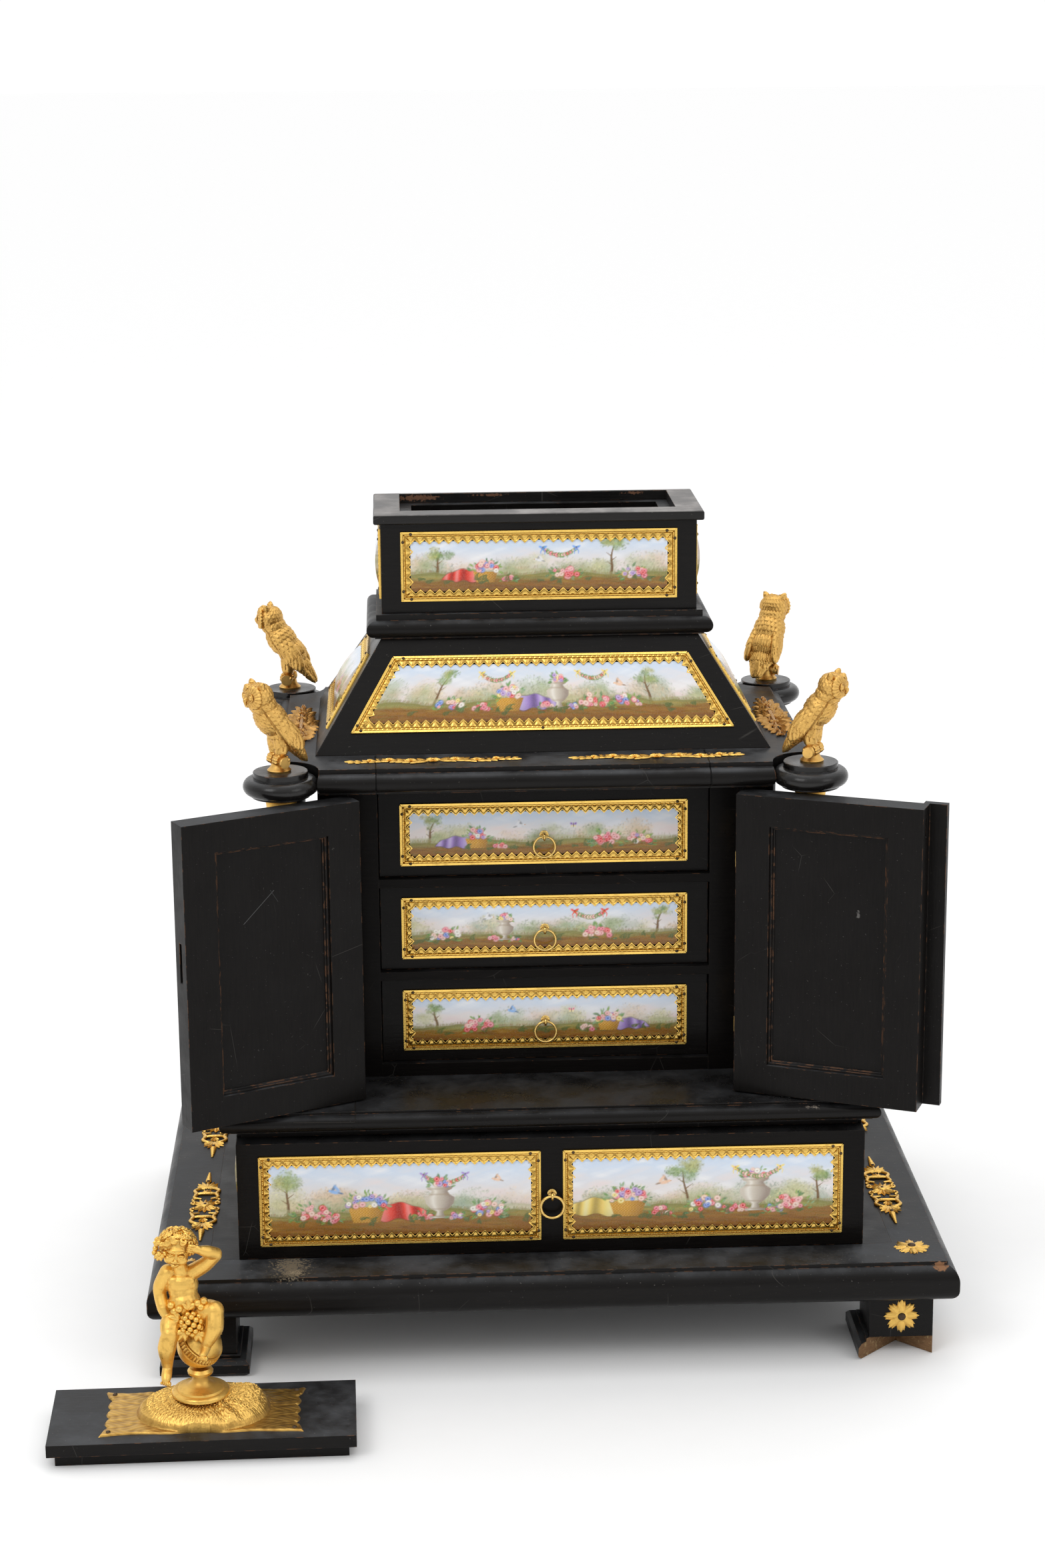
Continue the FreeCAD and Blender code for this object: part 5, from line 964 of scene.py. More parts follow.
def merged(build, voxel, rounds_of_smoothing):
    """The outer surface of overlapping shells as one even mesh: its points in millimetres, and its faces."""
    mesh = mesh_of("merging", build.points, build.faces)
    made = in_scene("merging", mesh)
    remesh = made.modifiers.new("remesh", "REMESH")
    remesh.mode = "VOXEL"
    remesh.voxel_size = voxel * MM
    smooth = made.modifiers.new("smooth", "SMOOTH")
    smooth.factor = 0.5
    smooth.iterations = rounds_of_smoothing
    done = made.evaluated_get(bpy.context.evaluated_depsgraph_get()).to_mesh()
    points, normals = np.zeros((2, len(done.vertices) * 3))
    done.vertices.foreach_get("co", points)
    done.vertices.foreach_get("normal", normals)
    faces = [tuple(face.vertices) for face in done.polygons]
    bpy.data.objects.remove(made)
    bpy.data.meshes.remove(mesh)
    return points.reshape(-1, 3) / MM, normals.reshape(-1, 3), faces


def strip_mitre(outer, index, end):
    """How much a strip shortens at one end for each millimetre inwards."""
    corner, *others = (outer[(index + step) % 4] for step in ((0, 1, -1), (1, 0, 2))[end])
    first, second = ((other - corner).normalized() for other in others)
    return 1 / math.tan(first.angle(second) / 2)


def strip_side(build, panel, index, nails):
    """One pressed strip along a panel's side: milled border, bead line, and hollow pointed teeth."""
    outer = panel.outline(STRIP_WIDTH)
    first, last = outer[index], outer[(index + 1) % 4]
    along = (last - first).normalized()
    inward = Vector((-along.y, along.x))
    middle = (first + last) / 2
    length = (last - first).length
    count = max(2, round((length - 2 * STRIP_WIDTH) / STRIP_PITCH))
    pitch = (length - 2 * STRIP_WIDTH) / count
    reach = (count + 2) * STRIP_STEPS / 2
    columns = np.arange(-reach, reach + 1) * pitch / STRIP_STEPS
    phase = columns / pitch + (0.5 if count % 2 == 0 else 0.0)
    tooth = 1 - np.abs((phase % 1.0) * 2 - 1)
    bead = np.cos(phase * TAU * 2) * 0.5 + 0.5
    tip = STRIP_WIDTH - 0.9 + (TOOTH_REACH + 0.9) * tooth
    # each row along the strip: how far in it runs, how high it stands and how dark it is; the dark is tarnish
    # and painted shade in the hollows
    levels = [(0, 0, 0.6), (0, 0.85, 0.15), (0.12, 1.1, 0), (1.3, 1.1, 0), (1.42, 0.6, 0.75),
              (1.65, 0.75 + 0.5 * bead, 0.3 * (1 - bead)), (2.1, 0.75 + 0.5 * bead, 0.3 * (1 - bead)),
              (BORDER, 0.55, 0.8)]
    for share, low, rise, dark in ((0.1, 0.7, 0.45, 0.55), (0.3, 0.7, 0.65, 0.75), (0.52, 0.85, 0.45, 0.8),
                                   (0.7, 1.02, 0.12, 0.75), (0.8, 1.4, 0.0, 0.0), (0.97, 1.4, 0.0, 0.0),
                                   (1.0, 0.95, 0.0, 0.7)):
        leaf = clip((tooth - 0.3 - 0.8 * share * share) * 4)
        levels.append((BORDER + (tip - BORDER) * share, low + rise * leaf, clip(dark - 0.6 * leaf)))
    starts, ends = (strip_mitre(outer, index, end) for end in (0, 1))
    rows, tones, wheres = [], [], []
    for level in levels:
        deep, high, dark = (np.broadcast_to(part, columns.shape) for part in level)
        row = []
        for s, t, h in zip(columns, deep, high):
            spot = middle + along * min(max(s, t * starts - length / 2),
                                        length / 2 - t * ends) + inward * float(t)
            row.append(tuple(panel.point(spot.x, spot.y, float(h))))
        rows.append(row)
        tones.append(dark)
        wheres.append(np.stack([columns, deep], axis=1))
    build.grid(rows, tone=tones, where=wheres)
    far = length / 2 - NAIL_FROM_CORNER
    for spot in (-far, far, 0.0) if length > LONG_STRIP else (-far, far):
        place = middle + along * spot + inward * NAIL_INSET
        nails.join(dome(NAIL_RADIUS, 0.75), moved(*panel.point(place.x, place.y, 1.0)) @ facing(panel.out))


def plaque_set(name, body, strips_node, plaques):
    """Plaques, given as (name, panel, seed, pitch, garden, replaced node), and the strips round them."""
    build, nails = Build(), Build()
    for title, panel, *rest in plaques:
        plaque_piece(title, panel, body, *rest)
        for index in range(4):
            strip_side(build, panel, index, nails)
    build.object(f"{name}_strips", body, STRIP_BRASS, strips_node, 50.0, 0.002)
    nails.object(f"{name}_strips_nails", body, IRON)


# what stands in each garden: its kind, its place in half widths from the middle, and its size
GARDENS = {
    "case": "tree -0.86 1.5, basket -0.5 0.8, bird -0.1 0.18, urn 0.3 1.0, tree 0.85 1.3, flowers 0.66 0.4",
    "roof": "tree -0.66 1.2, mixed -0.56 0.34, swag -0.3 0.55, basket -0.2 0.8, urn 0.1 0.95, swag 0.34 0.5, "
            "flowers 0.32 0.4, bird 0.5 0.17, mixed 0.52 0.34, tree 0.66 1.15",
    "roof_end": "basket 0.0 0.6, bird 0.3 0.14",
    "box": "tree -0.8 1.25, basket -0.42 0.78, bird 0.0 0.16, flowers 0.2 0.42, tree 0.56 1.35, "
           "mixed 0.74 0.4, swag 0.16 0.6",
    "box_end": "mixed 0.0 0.45, bird 0.3 0.14",
    "top": "tree -0.86 1.2, basket -0.5 0.85, bird -0.18 0.2, butterfly 0.22 0.14, flowers 0.46 0.5, "
           "mixed 0.72 0.42",
    "middle": "mixed -0.74 0.5, bird -0.42 0.19, urn -0.3 0.95, swag 0.34 0.62, flowers 0.4 0.48, "
              "tree 0.84 1.2",
    "bottom": "tree -0.82 1.2, flowers -0.5 0.5, bird -0.25 0.2, basket 0.48 0.85, butterfly 0.2 0.13",
    "base_0": "tree -0.86 1.35, flowers -0.66 0.42, bird -0.5 0.17, basket -0.26 0.85, swag 0.34 0.55, "
              "urn 0.3 1.0, mixed 0.66 0.42, bird 0.74 0.13",
    "base_1": "basket -0.58 0.85, bird -0.3 0.17, tree -0.12 1.4, mixed 0.04 0.4, urn 0.4 1.05, "
              "swag 0.42 0.6, flowers 0.68 0.4, tree 0.88 1.3",
    "door": "tree -0.55 4.2, bird 0.45 0.3, urn 0.1 2.2, swag 0.0 1.2, mixed -0.5 0.6, basket 0.3 0.9, "
            "flowers 0.7 0.5",
}


def plaques_and_strips():
    """Every enamel plaque with its own garden, and the brass strips that hold it."""
    walls = []
    for index, panel in enumerate(map(Panel, islands("cabinet_plaques"))):
        kind = "case" if panel.centre.z < 150 else "roof" if panel.centre.z < 355 else "box"
        if kind != "case" and abs(panel.out.x) > 0.5:
            kind += "_end"
        walls.append((f"plaque_{kind}_{index}", panel, 11 + index, 0.4 if panel.out.y < -0.3 else 0.65,
                      GARDENS[kind], None if index else "cabinet_plaques"))
    plaque_set("cabinet", "cabinet", "cabinet_plaque_strips", walls)
    for count, name in enumerate(("top", "middle", "bottom")):
        node = f"{name}_drawer_plaque"
        plaque_set(name, f"{name}_drawer", f"{name}_drawer_mounts",
                   [(f"{name}_plaque", Panel(islands(node)[0]), 31 + count, 0.36, GARDENS[name], node)])
    plaque_set("base", "base_drawer", "base_drawer_mounts", [
        (f"base_plaque_{count}", Panel(faces), 41 + count, 0.38, GARDENS[f"base_{count}"],
         None if count else "base_drawer_plaques")
        for count, faces in enumerate(islands("base_drawer_plaques"))])
    for count, side in enumerate(("left_door", "right_door")):
        node = f"{side}_plaque"
        plaque_set(side, side, f"{side}_mounts",
                   [(f"{side}_enamel", Panel(islands(node)[0]), 51 + count, 0.6, GARDENS["door"], node)])


# the wood of each CAD node, by its name or by a part of it; other nodes are of plain ebony
WOODS = ((DRAWER_WOOD, ("_tray",)), (EBONY_FRONT, ("_drawer_front",)), (EBONY_SLAB, ("slab_board",)),
         (EBONY_WORN, ("base_moulding", "cornice_board", "box_plinth", "lid_board", "lid_plug",
                       "foot_mouldings")),
         (EBONY_INSIDE, ("nest_frame", "carcass_sides", "carcass_back", "sub_board")),
         (EBONY_RIM, ("box_rim",)),
         (EBONY_DOOR, ("_door_",)), (RING_BRASS, ("hinge_pins",)), (EBONY, ("",)))


def dress_wood():
    """The CAD boards keep their shape and get their woods."""
    for node, made in NODES.items():
        material = next(wood for wood, names in WOODS if any(name in node for name in names))
        made.data.materials.clear()
        made.data.materials.append(material)
    broken_foot()


def broken_foot():
    """The front right foot shows bare wood on the faces where its mouldings are lost."""
    mesh = NODES["foot_mouldings"].data
    mesh.materials.append(RAW_WOOD)
    block = box_of("foot_blocks")[1]
    for face in mesh.polygons:
        centre, normal = face.center / MM, face.normal
        diagonal = abs(abs(normal.x) - abs(normal.y)) < 0.05 and abs(normal.z) < 0.1
        flush = normal.x > 0.9 and centre.x < block.x + 0.5
        if centre.x >= block.x - 40 and centre.y <= -80 and (diagonal or flush):
            face.material_index = 1


DOOR_BEAD = ((-0.2, -0.3), (-0.2, 2.1), (0.3, 2.3), (1.0, 2.0), (1.35, 1.3), (1.4, 0.7), (1.9, 0.65),
             (2.1, -0.2))


def door_beads():
    """A thin bead round the sunk field of each door, on the side that looks out when the door is open."""
    for side in ("left_door", "right_door"):
        panel = NODES[f"{side}_panel"].data
        field = np.array([tuple(vert.co / MM) for vert in panel.vertices])
        large = 0.3 * max(face.area for face in panel.polygons)
        out = min((face.normal.copy() for face in panel.polygons if face.area > large), key=lambda way: way.y)
        across = Vector((0, 0, 1)).cross(out).normalized()
        wide, high = field @ np.array(across), field[:, 2]
        reach = (field @ np.array(out)).max()
        rows = []
        for inset, height in DOOR_BEAD:
            left, right = wide.min() + inset, wide.max() - inset
            low, top = high.min() + inset, high.max() - inset
            rows.append([tuple(across * float(a) + out * float(reach + height) + Vector((0, 0, float(z))))
                         for a, z in ((left, low), (right, low), (right, top), (left, top))])
        build = Build().grid(rows, round_columns=True)
        build.object(f"{side}_bead", side, EBONY_BEAD, None, 40.0, 0.001)


def ring_pulls():
    """Each drawer's ring of brass wire in the eye of its staple."""
    for name in ("top", "middle", "bottom", "base"):
        node = f"{name}_drawer_ring"
        low, high = box_of(node)
        wire = (high.y - low.y) / 2
        radius = (high.x - low.x) / 2 - wire
        centre = (low + high) / 2
        hoop(centre, radius, 48, "Y", wire, 12).object(f"{name}_pull_ring", f"{name}_ring", RING_BRASS, node)
        eye = Vector((centre.x, centre.y, centre.z + radius))
        wall = box_of(f"{name}_drawer_front")[0].y
        staple = hoop(eye, 1.7, 24, "X", 0.6, 8)
        staple.join(tube([(eye.x, eye.y + 1.7, eye.z), (eye.x, wall, eye.z)], 0.62, 8))
        front = wall - (0.0 if name == "base" else 1.6)
        staple.join(lathe([(2.3, 0.0), (2.3, 0.3), (1.9, 0.55), (0.8, 0.6)], 16),
                    moved(eye.x, front, eye.z) @ facing((0, -1, 0)))
        staple.object(f"{name}_staple", f"{name}_drawer", RING_BRASS, None, 40.0)


# turned profiles as (radius, height) pairs: the base from the slab, the capital from 16 mm under the cornice
COLUMN_BASE = ((7.6, 0), (7.6, 2.2), (7.1, 2.6), (6.4, 3.4), (6.3, 4.4), (7.0, 5.2), (7.2, 6.2), (6.6, 7.2),
               (6.25, 8.4), (6.2, 12.0))
CAPITAL = ((6.9, 0.8), (6.3, 1.8), (6.4, 5), (7.2, 10), (7.6, 13), (7.2, 13.8), (9.9, 14.8), (10.0, 16))
EAR_RADIUS = 14.3
EAR_ROUND = 4.2
BALL_STAND = ((13.6, 0), (13.6, 1.3), (13.0, 2.0), (11.2, 2.2), (10.8, 3.2), (9.4, 3.7), (6.4, 4.4),
              (4.4, 6.0), (3.5, 8.2), (3.7, 9.6), (5.9, 10.2), (6.1, 11.4), (5.5, 12.2), (5.0, 12.9))


def column_pieces():
    """Gilt bases and capitals and the round ears that cap the columns."""
    slab = box_of("slab_board")[1].z
    cornice, top = (corner.z for corner in box_of("cornice_ears"))
    mounts, ears = Build(), Build()
    for _, low, high in map(extent, islands("columns")):
        x, y = (low[:2] + high[:2]) / 2
        neck = cornice - 16
        base = [(radius, slab + height) for radius, height in COLUMN_BASE]
        capital = [((high[0] - low[0]) / 2, neck), *((radius, neck + height) for radius, height in CAPITAL)]
        nose = [(EAR_RADIUS + EAR_ROUND * math.cos(lean), top - 3 - EAR_ROUND + EAR_ROUND * math.sin(lean))
                for lean in np.linspace(-QUARTER, QUARTER, 13)]
        ear = [(6.0, cornice), (EAR_RADIUS, cornice), *nose, (13.4, top - 3), (13.4, top - 0.3), (13.1, top),
               (2, top)]
        mounts.join(lathe(base, 32, (x, y, 0))).join(lathe(capital, 32, (x, y, 0)))
        ears.join(lathe(ear, 72, (x, y, 0)))
    mounts.object("column_gilt_mounts", "cabinet", GILT, "column_mounts", 40.0, 0.001)
    ears.object("cornice_round_ears", "cabinet", EBONY_POLISHED, "cornice_ears", 35.0, 0.001)


def rosette(radius):
    """Sixteen pressed petals in two layers round a nail."""
    build = Build()
    for reach, wide, base, count, start in ((0.93, 0.30, 0.12, 16, 0.5), (1.0, 0.44, 0.42, 8, 0)):
        for index in range(count):
            leaf = petal(radius * reach, radius * wide, 0.75, -0.12)
            build.join(leaf, spun(TAU * (index + start) / count) @ moved(0, 0, base))
    return build.join(lathe([(radius * 0.34, 0.2), (radius * 0.34, 0.9), (radius * 0.26, 1.25), (0.3, 1.3)],
                            20))


def rosettes():
    flowers, nails = Build(), Build()
    for _, low, high in map(extent, islands("rosettes")):
        axis = int(np.argmin(high - low))
        centre = Vector((low + high) / 2)
        sign = 1.0 if axis == 2 or centre[axis] > 0 else -1.0
        centre[axis] = low[axis] if sign > 0 else high[axis]
        place = moved(*centre) @ facing([sign if index == axis else 0.0 for index in range(3)])
        flowers.join(rosette((high - low).max() / 2 * 1.02), place)
        nails.join(dome(2.1, 1.1, 16, 4), place @ moved(0, 0, 1.15))
    flowers.object("gilt_rosettes", "cabinet", GILT, "rosettes")
    nails.object("rosette_nails", "cabinet", IRON)


def shingles(across, along, wide, long, lift=1.0):
    """Relief of overlapping feathers that rise towards their round tips, each over the next row's roots."""
    best = np.zeros_like(along)
    for start in (np.floor(along / long), np.floor(along / long) - 1):
        share = (along - start * long) / (1.55 * long)
        side = np.mod(across / wide + 0.5 * np.mod(start, 2), 1.0) - 0.5
        inside = np.abs(side) < 0.5 * np.sqrt(clip(1 - share ** 4))
        quill = 0.25 * np.exp(-(side / 0.07) ** 2)
        barbs = 0.06 * np.cos((np.abs(side) * 3.0 + share) * TAU * 2.5)
        best = np.maximum(best, (0.35 + 0.65 * share + quill + barbs - 0.9 * side ** 2) * inside)
    return best * lift


def owl_relief(points):
    """How high the owl's feathers and face stand at its points."""
    from_tail = points - np.array((0, 13.0, 4.5))
    along = from_tail @ np.array((0, -0.579, 0.815))
    spin = np.arctan2(points[:, 0], from_tail @ np.array((0, 0.815, 0.579)) + 1.0)
    around = np.abs(spin) * clip(7.3 * np.sin(clip(along, 4, 38) / 42 * math.pi) + 2.0, 2.0, 9.0)
    head = np.linalg.norm(points - np.array((0, -11.0, 38.8)), axis=1) < 9.5
    head &= points[:, 2] > 33.4
    wing = ~head & (np.abs(spin) < 2.05)
    height = np.full(len(points), 0.6)
    for part, stretch, wide, long, lift in ((~head & ~wing & (points[:, 2] > 9.5), 1.0, 2.5, 4.2, 1.0),
                                            (wing & (along > 20), 1.0, 2.6, 2.6, 1.0),
                                            (wing & (along <= 20), 1.1, 2.1, 8.0, 1.15)):
        height[part] = shingles(around[part] * stretch + 50, 60 - along[part], wide, long, lift)
    height[head] = 0.8 * shingles(np.arctan2(points[head, 0], points[head, 1] + 9.0) * 6.2 + 50,
                                  60 - points[head, 2], 1.9, 1.8)
    height[wing & (np.abs(np.abs(spin) - 2.0) < 0.07)] = 0.0
    for side in SIDES:
        apart = points - np.array((side * 3.3, -16.6, 38.9))
        far = np.hypot(apart[:, 0], apart[:, 2])
        face = head & (points[:, 1] < -12.9) & (far < 5.1) & (points[:, 0] * side > -0.15)
        streaks = 0.5 + 0.3 * np.cos(np.arctan2(apart[:, 2], apart[:, 0]) * 16) * clip(far - 2.2)
        rim = 1.4 * np.exp(-((far - 4.6) / 0.45) ** 2)
        dish = -0.8 * clip(1 - (far - 1.4) / 1.6)
        height[face] = (streaks + rim + dish)[face]
    return height


def owl_mesh():
    """An owl of cast bronze that leans out over its perch, looking along -Y, from its foot upwards."""
    shape = Build()
    add_forms(shape, (
        ((0, -4.4, 26.8), (8.3, 7.2, 9.8), spun(0.62, "X")),
        ((0, 1.2, 19.4), (7.5, 6.5, 8.3), spun(0.66, "X")),
        ((0, 6.4, 13.2), (5.0, 3.6, 7.0), spun(0.7, "X")),
        (((0, 5, 15), (0, 9.5, 9.6), (0, 13.2, 4.6)), (4.0, 3.0, 1.1)),
        ((0, -10.4, 38.6), (7.6, 6.5, 6.2), spun(0.2, "X")),
        ((0, -8.4, 34.0), (7.0, 6.2, 5.2)),
    ))
    for side in SIDES:
        wing = ball((0, 0, 0), (2.3, 4.6, 12.6), spun(0.66, "X"))
        shape.join(wing, moved(side * 6.7, 0.5, 21.5) @ spun(side * -0.16, "Y"))
        add_forms(shape, (
            (((5.4, 4.5, 14.5), (3.4, 9.4, 8.8), (1.5, 13.4, 4.0)), (2.3, 1.5, 0.6)),
            (((2.9, -0.2, 15.5), (2.9, -0.8, 10.5), (2.7, -0.9, 8.6)), (4.1, 3.0, 1.9)),
            (((3.7, -11.2, 42.4), (5.3, -11.4, 44.6), (6.1, -11.5, 45.7)), (2.2, 1.3, 0.5), 12),
            ((3.2, -14.9, 38.8), (4.6, 2.0, 4.7), spun(side * 0.32)),
        ), lambda x, y, z: (side * x, y, z))
    points, normals, faces = merged(shape, 0.3, 5)
    height = owl_relief(points)
    points = points + normals * (height * 0.62)[:, None]
    extra = Build()
    for side in SIDES:
        eye = (side * 3.25, -16.45, 38.9)
        extra.join(ball(eye, (1.4, 1.1, 1.4)))
        extra.join(hoop((eye[0], eye[1] - 0.2, eye[2]), 1.9, 20, "Y", 0.32, 8))
        for toe in (-1, 0, 1):
            x = side * 2.8 + toe * 1.35
            claw = bent([(x, -1.6, 8.8), (x, -3.6, 7.9), (x, -4.4, 5.8), (x, -3.9, 3.9)], 6)
            knobs = [0.8 + 0.2 * math.cos(step * 1.9) for step in range(len(claw) - 4)]
            extra.join(tube(claw, [*knobs, 0.6, 0.45, 0.3, 0.12], 10))
    extra.join(limb([(0, -15.8, 38.6), (0, -18.0, 37.4), (0, -17.7, 35.2)], [1.15, 1.05, 0.3], 12))
    branch = [(x, -0.9 + 0.25 * math.sin(x * 0.9), 5.6 + 0.2 * math.cos(x * 1.3))
              for x in np.linspace(-7.2, 7.2, 37)]
    extra.join(tube(branch, [2.75 + 0.35 * math.sin(x * 2.1) + 0.12 * math.sin(x * 7) for x, _, _ in branch],
                    22))
    extra.join(lathe([(5.7, 0), (5.9, 0.8), (5.2, 1.5), (4.3, 2.3), (3.8, 3.6), (3.6, 5.0)], 24,
                     (0, -0.6, 0)))
    for knot in ((-6.6, 1.1, 6.9), (6.3, 1.3, 6.6), (3.2, 2.0, 7.2)):
        extra.join(ball(knot, 0.95, None, 10, 6))
    start = len(points)
    faces = faces + [tuple(start + index for index in face) for face in extra.faces]
    tone = np.concatenate([clip(0.62 - height * 0.95, 0, 0.85), np.zeros(len(extra.points))])
    return np.vstack([points, np.array(extra.points)]), faces, tone


OWL_TURNS = {("front", "left"): -60, ("front", "right"): 62, ("back", "left"): -100, ("back", "right"): 150}


def owls():
    """The same cast owl on each of the four ears, each turned its own way."""
    points, faces, tone = owl_mesh()
    foot = box_of("owls")[0].z
    places = [(low + high) / 2 for _, low, high in map(extent, islands("columns"))]
    for count, ((depth, side), turn) in enumerate(OWL_TURNS.items()):
        x, y, _ = next(spot for spot in places
                       if (spot[0] < 0, spot[1] < 0) == (side == "left", depth == "front"))
        c, s = math.cos(math.radians(turn)), math.sin(math.radians(turn))
        placed = points @ np.array(((c, s, 0), (-s, c, 0), (0, 0, 1))) + np.array((x, y, foot))
        mesh = mesh_of(f"owl_{depth}_{side}", placed, faces)
        tarnish_and_shade(mesh, tone)
        dress(in_scene(mesh.name, mesh), "cabinet", GILT_OWL, None if count else "owls", 50.0)


def spiral(centre, start, end, begin, sweep, steps=16):
    """A scroll on the plane that winds from one radius to another."""
    return [(centre[0] + (start + (end - start) * t) * math.cos(begin + sweep * t),
             centre[1] + (start + (end - start) * t) * math.sin(begin + sweep * t), 0.25)
            for t in np.linspace(0, 1, steps)]


def fan(petals, length, wide, spread, lift=0.8, narrow=0.82):
    """Petals spread about +Y, the middle one the longest."""
    build = Build()
    for index in range(petals):
        share = 2 * index / (petals - 1) - 1
        size = length * (1 - (1 - narrow) * share ** 2 * 2)
        build.join(petal(size, wide, lift, 0.1), spun(QUARTER - share * spread))
    return build


def spindle():
    """One pressed mount of the base, 91 mm long: shell, scrolls, palmettes and beaded tips."""
    half = Build()
    half.join(fan(7, 8.4, 2.4, 1.25, 1.0), moved(0, 0.3, 0.35))
    half.join(fan(7, 9.2, 2.5, 1.15, 1.0), moved(0, 24.0, 0.35))
    half.join(fan(5, 4.6, 1.7, 0.9, 0.8), moved(0, 17.4, 0.3))
    for side in SIDES:
        arm = bent([(side * x, y, z) for x, y, z in (
            (2.4, 9.6, 0.4), (6.2, 11.2, 0.5), (5.0, 15.6, 0.6), (6.4, 20.2, 0.5), (3.6, 23.4, 0.5),
            (1.2, 22.6, 0.4))], 6)
        half.join(tube(arm, np.interp(np.linspace(0, 1, len(arm)), (0, 0.3, 0.7, 1), (0.5, 1.0, 1.0, 0.6)),
                       8))
        for x, y, start, end, begin, sweep, wire in ((5.6, 3.9, 2.3, 0.4, QUARTER, -5.2, 0.62),
                                                     (3.4, 25.4, 2.0, 0.35, -QUARTER, 5.0, 0.58),
                                                     (5.9, 9.0, 1.7, 0.3, -QUARTER, 4.6, 0.5)):
            half.join(tube(spiral((side * x, y), start, end, begin, side * sweep), wire, 8))
        half.join(ball((side * 5.6, 3.9, 0.7), 0.8, None, 10, 6))
    half.join(tube([(-6.4, 15.6, 0.5), (-3, 15.6, 0.9), (3, 15.6, 0.9), (6.4, 15.6, 0.5)],
                   [0.6, 1.0, 1.0, 0.6], 8))
    for step in range(8):
        size = 1.75 - 0.15 * step
        half.join(ball((0, 33.4 + step * 1.5 + 0.02 * step ** 2, 0.5), (size, size * 0.75, size * 0.8), None,
                       12, 6))
    whole = Build().join(half).join(half, spun(math.pi))
    return whole.join(lathe([(2.6, 0.2), (2.6, 1.2), (1.9, 1.7), (0.4, 1.8)], 20))


def garland_long():
    """A swag of leaves and small roses, 86 mm long."""
    def wave(x):
        return 1.1 * math.sin(x * 0.22)

    whole = tube([(x, wave(x), 0.3) for x in np.linspace(-41.5, 41.5, 40)],
                 [0.75 - 0.4 * abs(x) / 42 for x in np.linspace(-41.5, 41.5, 40)], 8)
    for side, back in ((-1, math.pi), (1, 0)):
        for step in range(11):
            x = side * (3.2 + step * 3.55)
            size = 6.4 - 0.27 * step
            for way in SIDES:
                turn = way * (0.62 + 0.12 * math.sin(step * 2.3 + way)) * side
                whole.join(petal(size, size * 0.46, 0.75, 0.15), moved(x, wave(x), 0.3) @ spun(back + turn))
        whole.join(petal(5.0, 1.9, 0.7, 0.1), moved(side * 38.4, 0, 0.25) @ spun(back))
    for x, size in ((0, 3.3), (-11.0, 2.5), (11.0, 2.5), (-21.5, 2.1), (21.5, 2.1), (-31, 1.7), (31, 1.7)):
        whole.join(rosette(size), moved(x, wave(x), 0.55))
    return whole


def garland_side():
    """A lozenge of small crowded leaves, 81 mm long."""
    whole = Build()
    chance = random.Random(5)
    for step in range(-13, 14):
        half = 7.6 * (1 - abs(step) / 14) ** 0.8
        count = max(1, round(half / 1.7))
        for index in range(-count, count + 1):
            y = half * index / count * 0.8
            turn = chance.uniform(-0.5, 0.5) + (0.9 if y > 0 else -0.9) * min(1, abs(y) / 3)
            leaf = petal(chance.uniform(3.6, 4.8), chance.uniform(1.5, 2.2), 1.3, 0.5, 4, 5)
            spot = moved(step * 2.95 + chance.uniform(-0.6, 0.6), y, chance.uniform(0.1, 0.7))
            whole.join(leaf, spot @ spun(math.pi - turn if step < 0 else turn))
    whole.join(tube([(-39.8, 0, 0.3), (0, 0, 1.2), (39.8, 0, 0.3)], [0.3, 1.1, 0.3], 8))
    for x, size in ((0, 3.6), (-13, 2.6), (13, 2.6), (-25, 1.9), (25, 1.9)):
        whole.join(rosette(size), moved(x, 0, 0.9))
    return whole


def flat_mounts():
    """The spindle mounts on the base plate, and the garlands on the cornice, with their nails."""
    shape, long, short = spindle(), garland_long(), garland_side()
    spindles, garlands, ends, nails, more_nails = (Build() for _ in range(5))
    for _, low, high in map(extent, islands("base_mounts")):
        place = moved(*((low + high) / 2)[:2], low[2])
        spindles.join(shape, place)
        for spot in (-31.3, 31.3, 0):
            nails.join(dome(0.95, 0.7, 10, 2), place @ moved(0, spot, 1.55))
    for _, low, high in map(extent, islands("cornice_mounts")):
        x, y, _ = (low + high) / 2
        end = high[1] - low[1] > high[0] - low[0]
        place = moved(x, y, low[2]) @ spun(QUARTER if end else (math.pi if y > 0 else 0.0))
        (ends if end else garlands).join(short if end else long, place)
        for spot in ((-26, 26) if end else (-26, 26, 0)):
            more_nails.join(dome(0.9, 0.7, 10, 2), place @ moved(spot, 0, 1.3))
    spindles.object("base_spindle_mounts", "cabinet", GILT, "base_mounts")
    nails.object("spindle_nails", "cabinet", IRON)
    garlands.object("cornice_garlands", "cabinet", GILT, "cornice_mounts")
    ends.object("cornice_end_garlands", "cabinet", GILT_DULL)
    more_nails.object("garland_nails", "cabinet", IRON)


def hinge_knuckles():
    """The doors' own hinge leaves and knuckles keep the solids' shape, in brass."""
    pins = {joint["name"]: joint.get("pos_m") for joint in frame["joints"]}
    for side in ("left", "right"):
        x, y, _ = (part / MM for part in pins[f"{side}_door_hinge"])
        knuckles = Build()
        for faces in islands(f"{side}_door_mounts"):
            _, low, high = extent(faces)
            centre = (low + high) / 2
            if math.hypot(centre[0] - x, centre[1] - y) > 9:
                continue
            for _, _, corners in faces:
                start = len(knuckles.points)
                knuckles.points.extend(tuple(corner) for corner in corners)
                knuckles.faces.append(tuple(range(start, start + len(corners))))
        knuckles.tone = np.zeros(len(knuckles.points))
        knuckles.where = np.zeros((len(knuckles.points), 2))
        knuckles.object(f"{side}_hinge_knuckles", f"{side}_door", RING_BRASS, None, 30.0, 0.001)


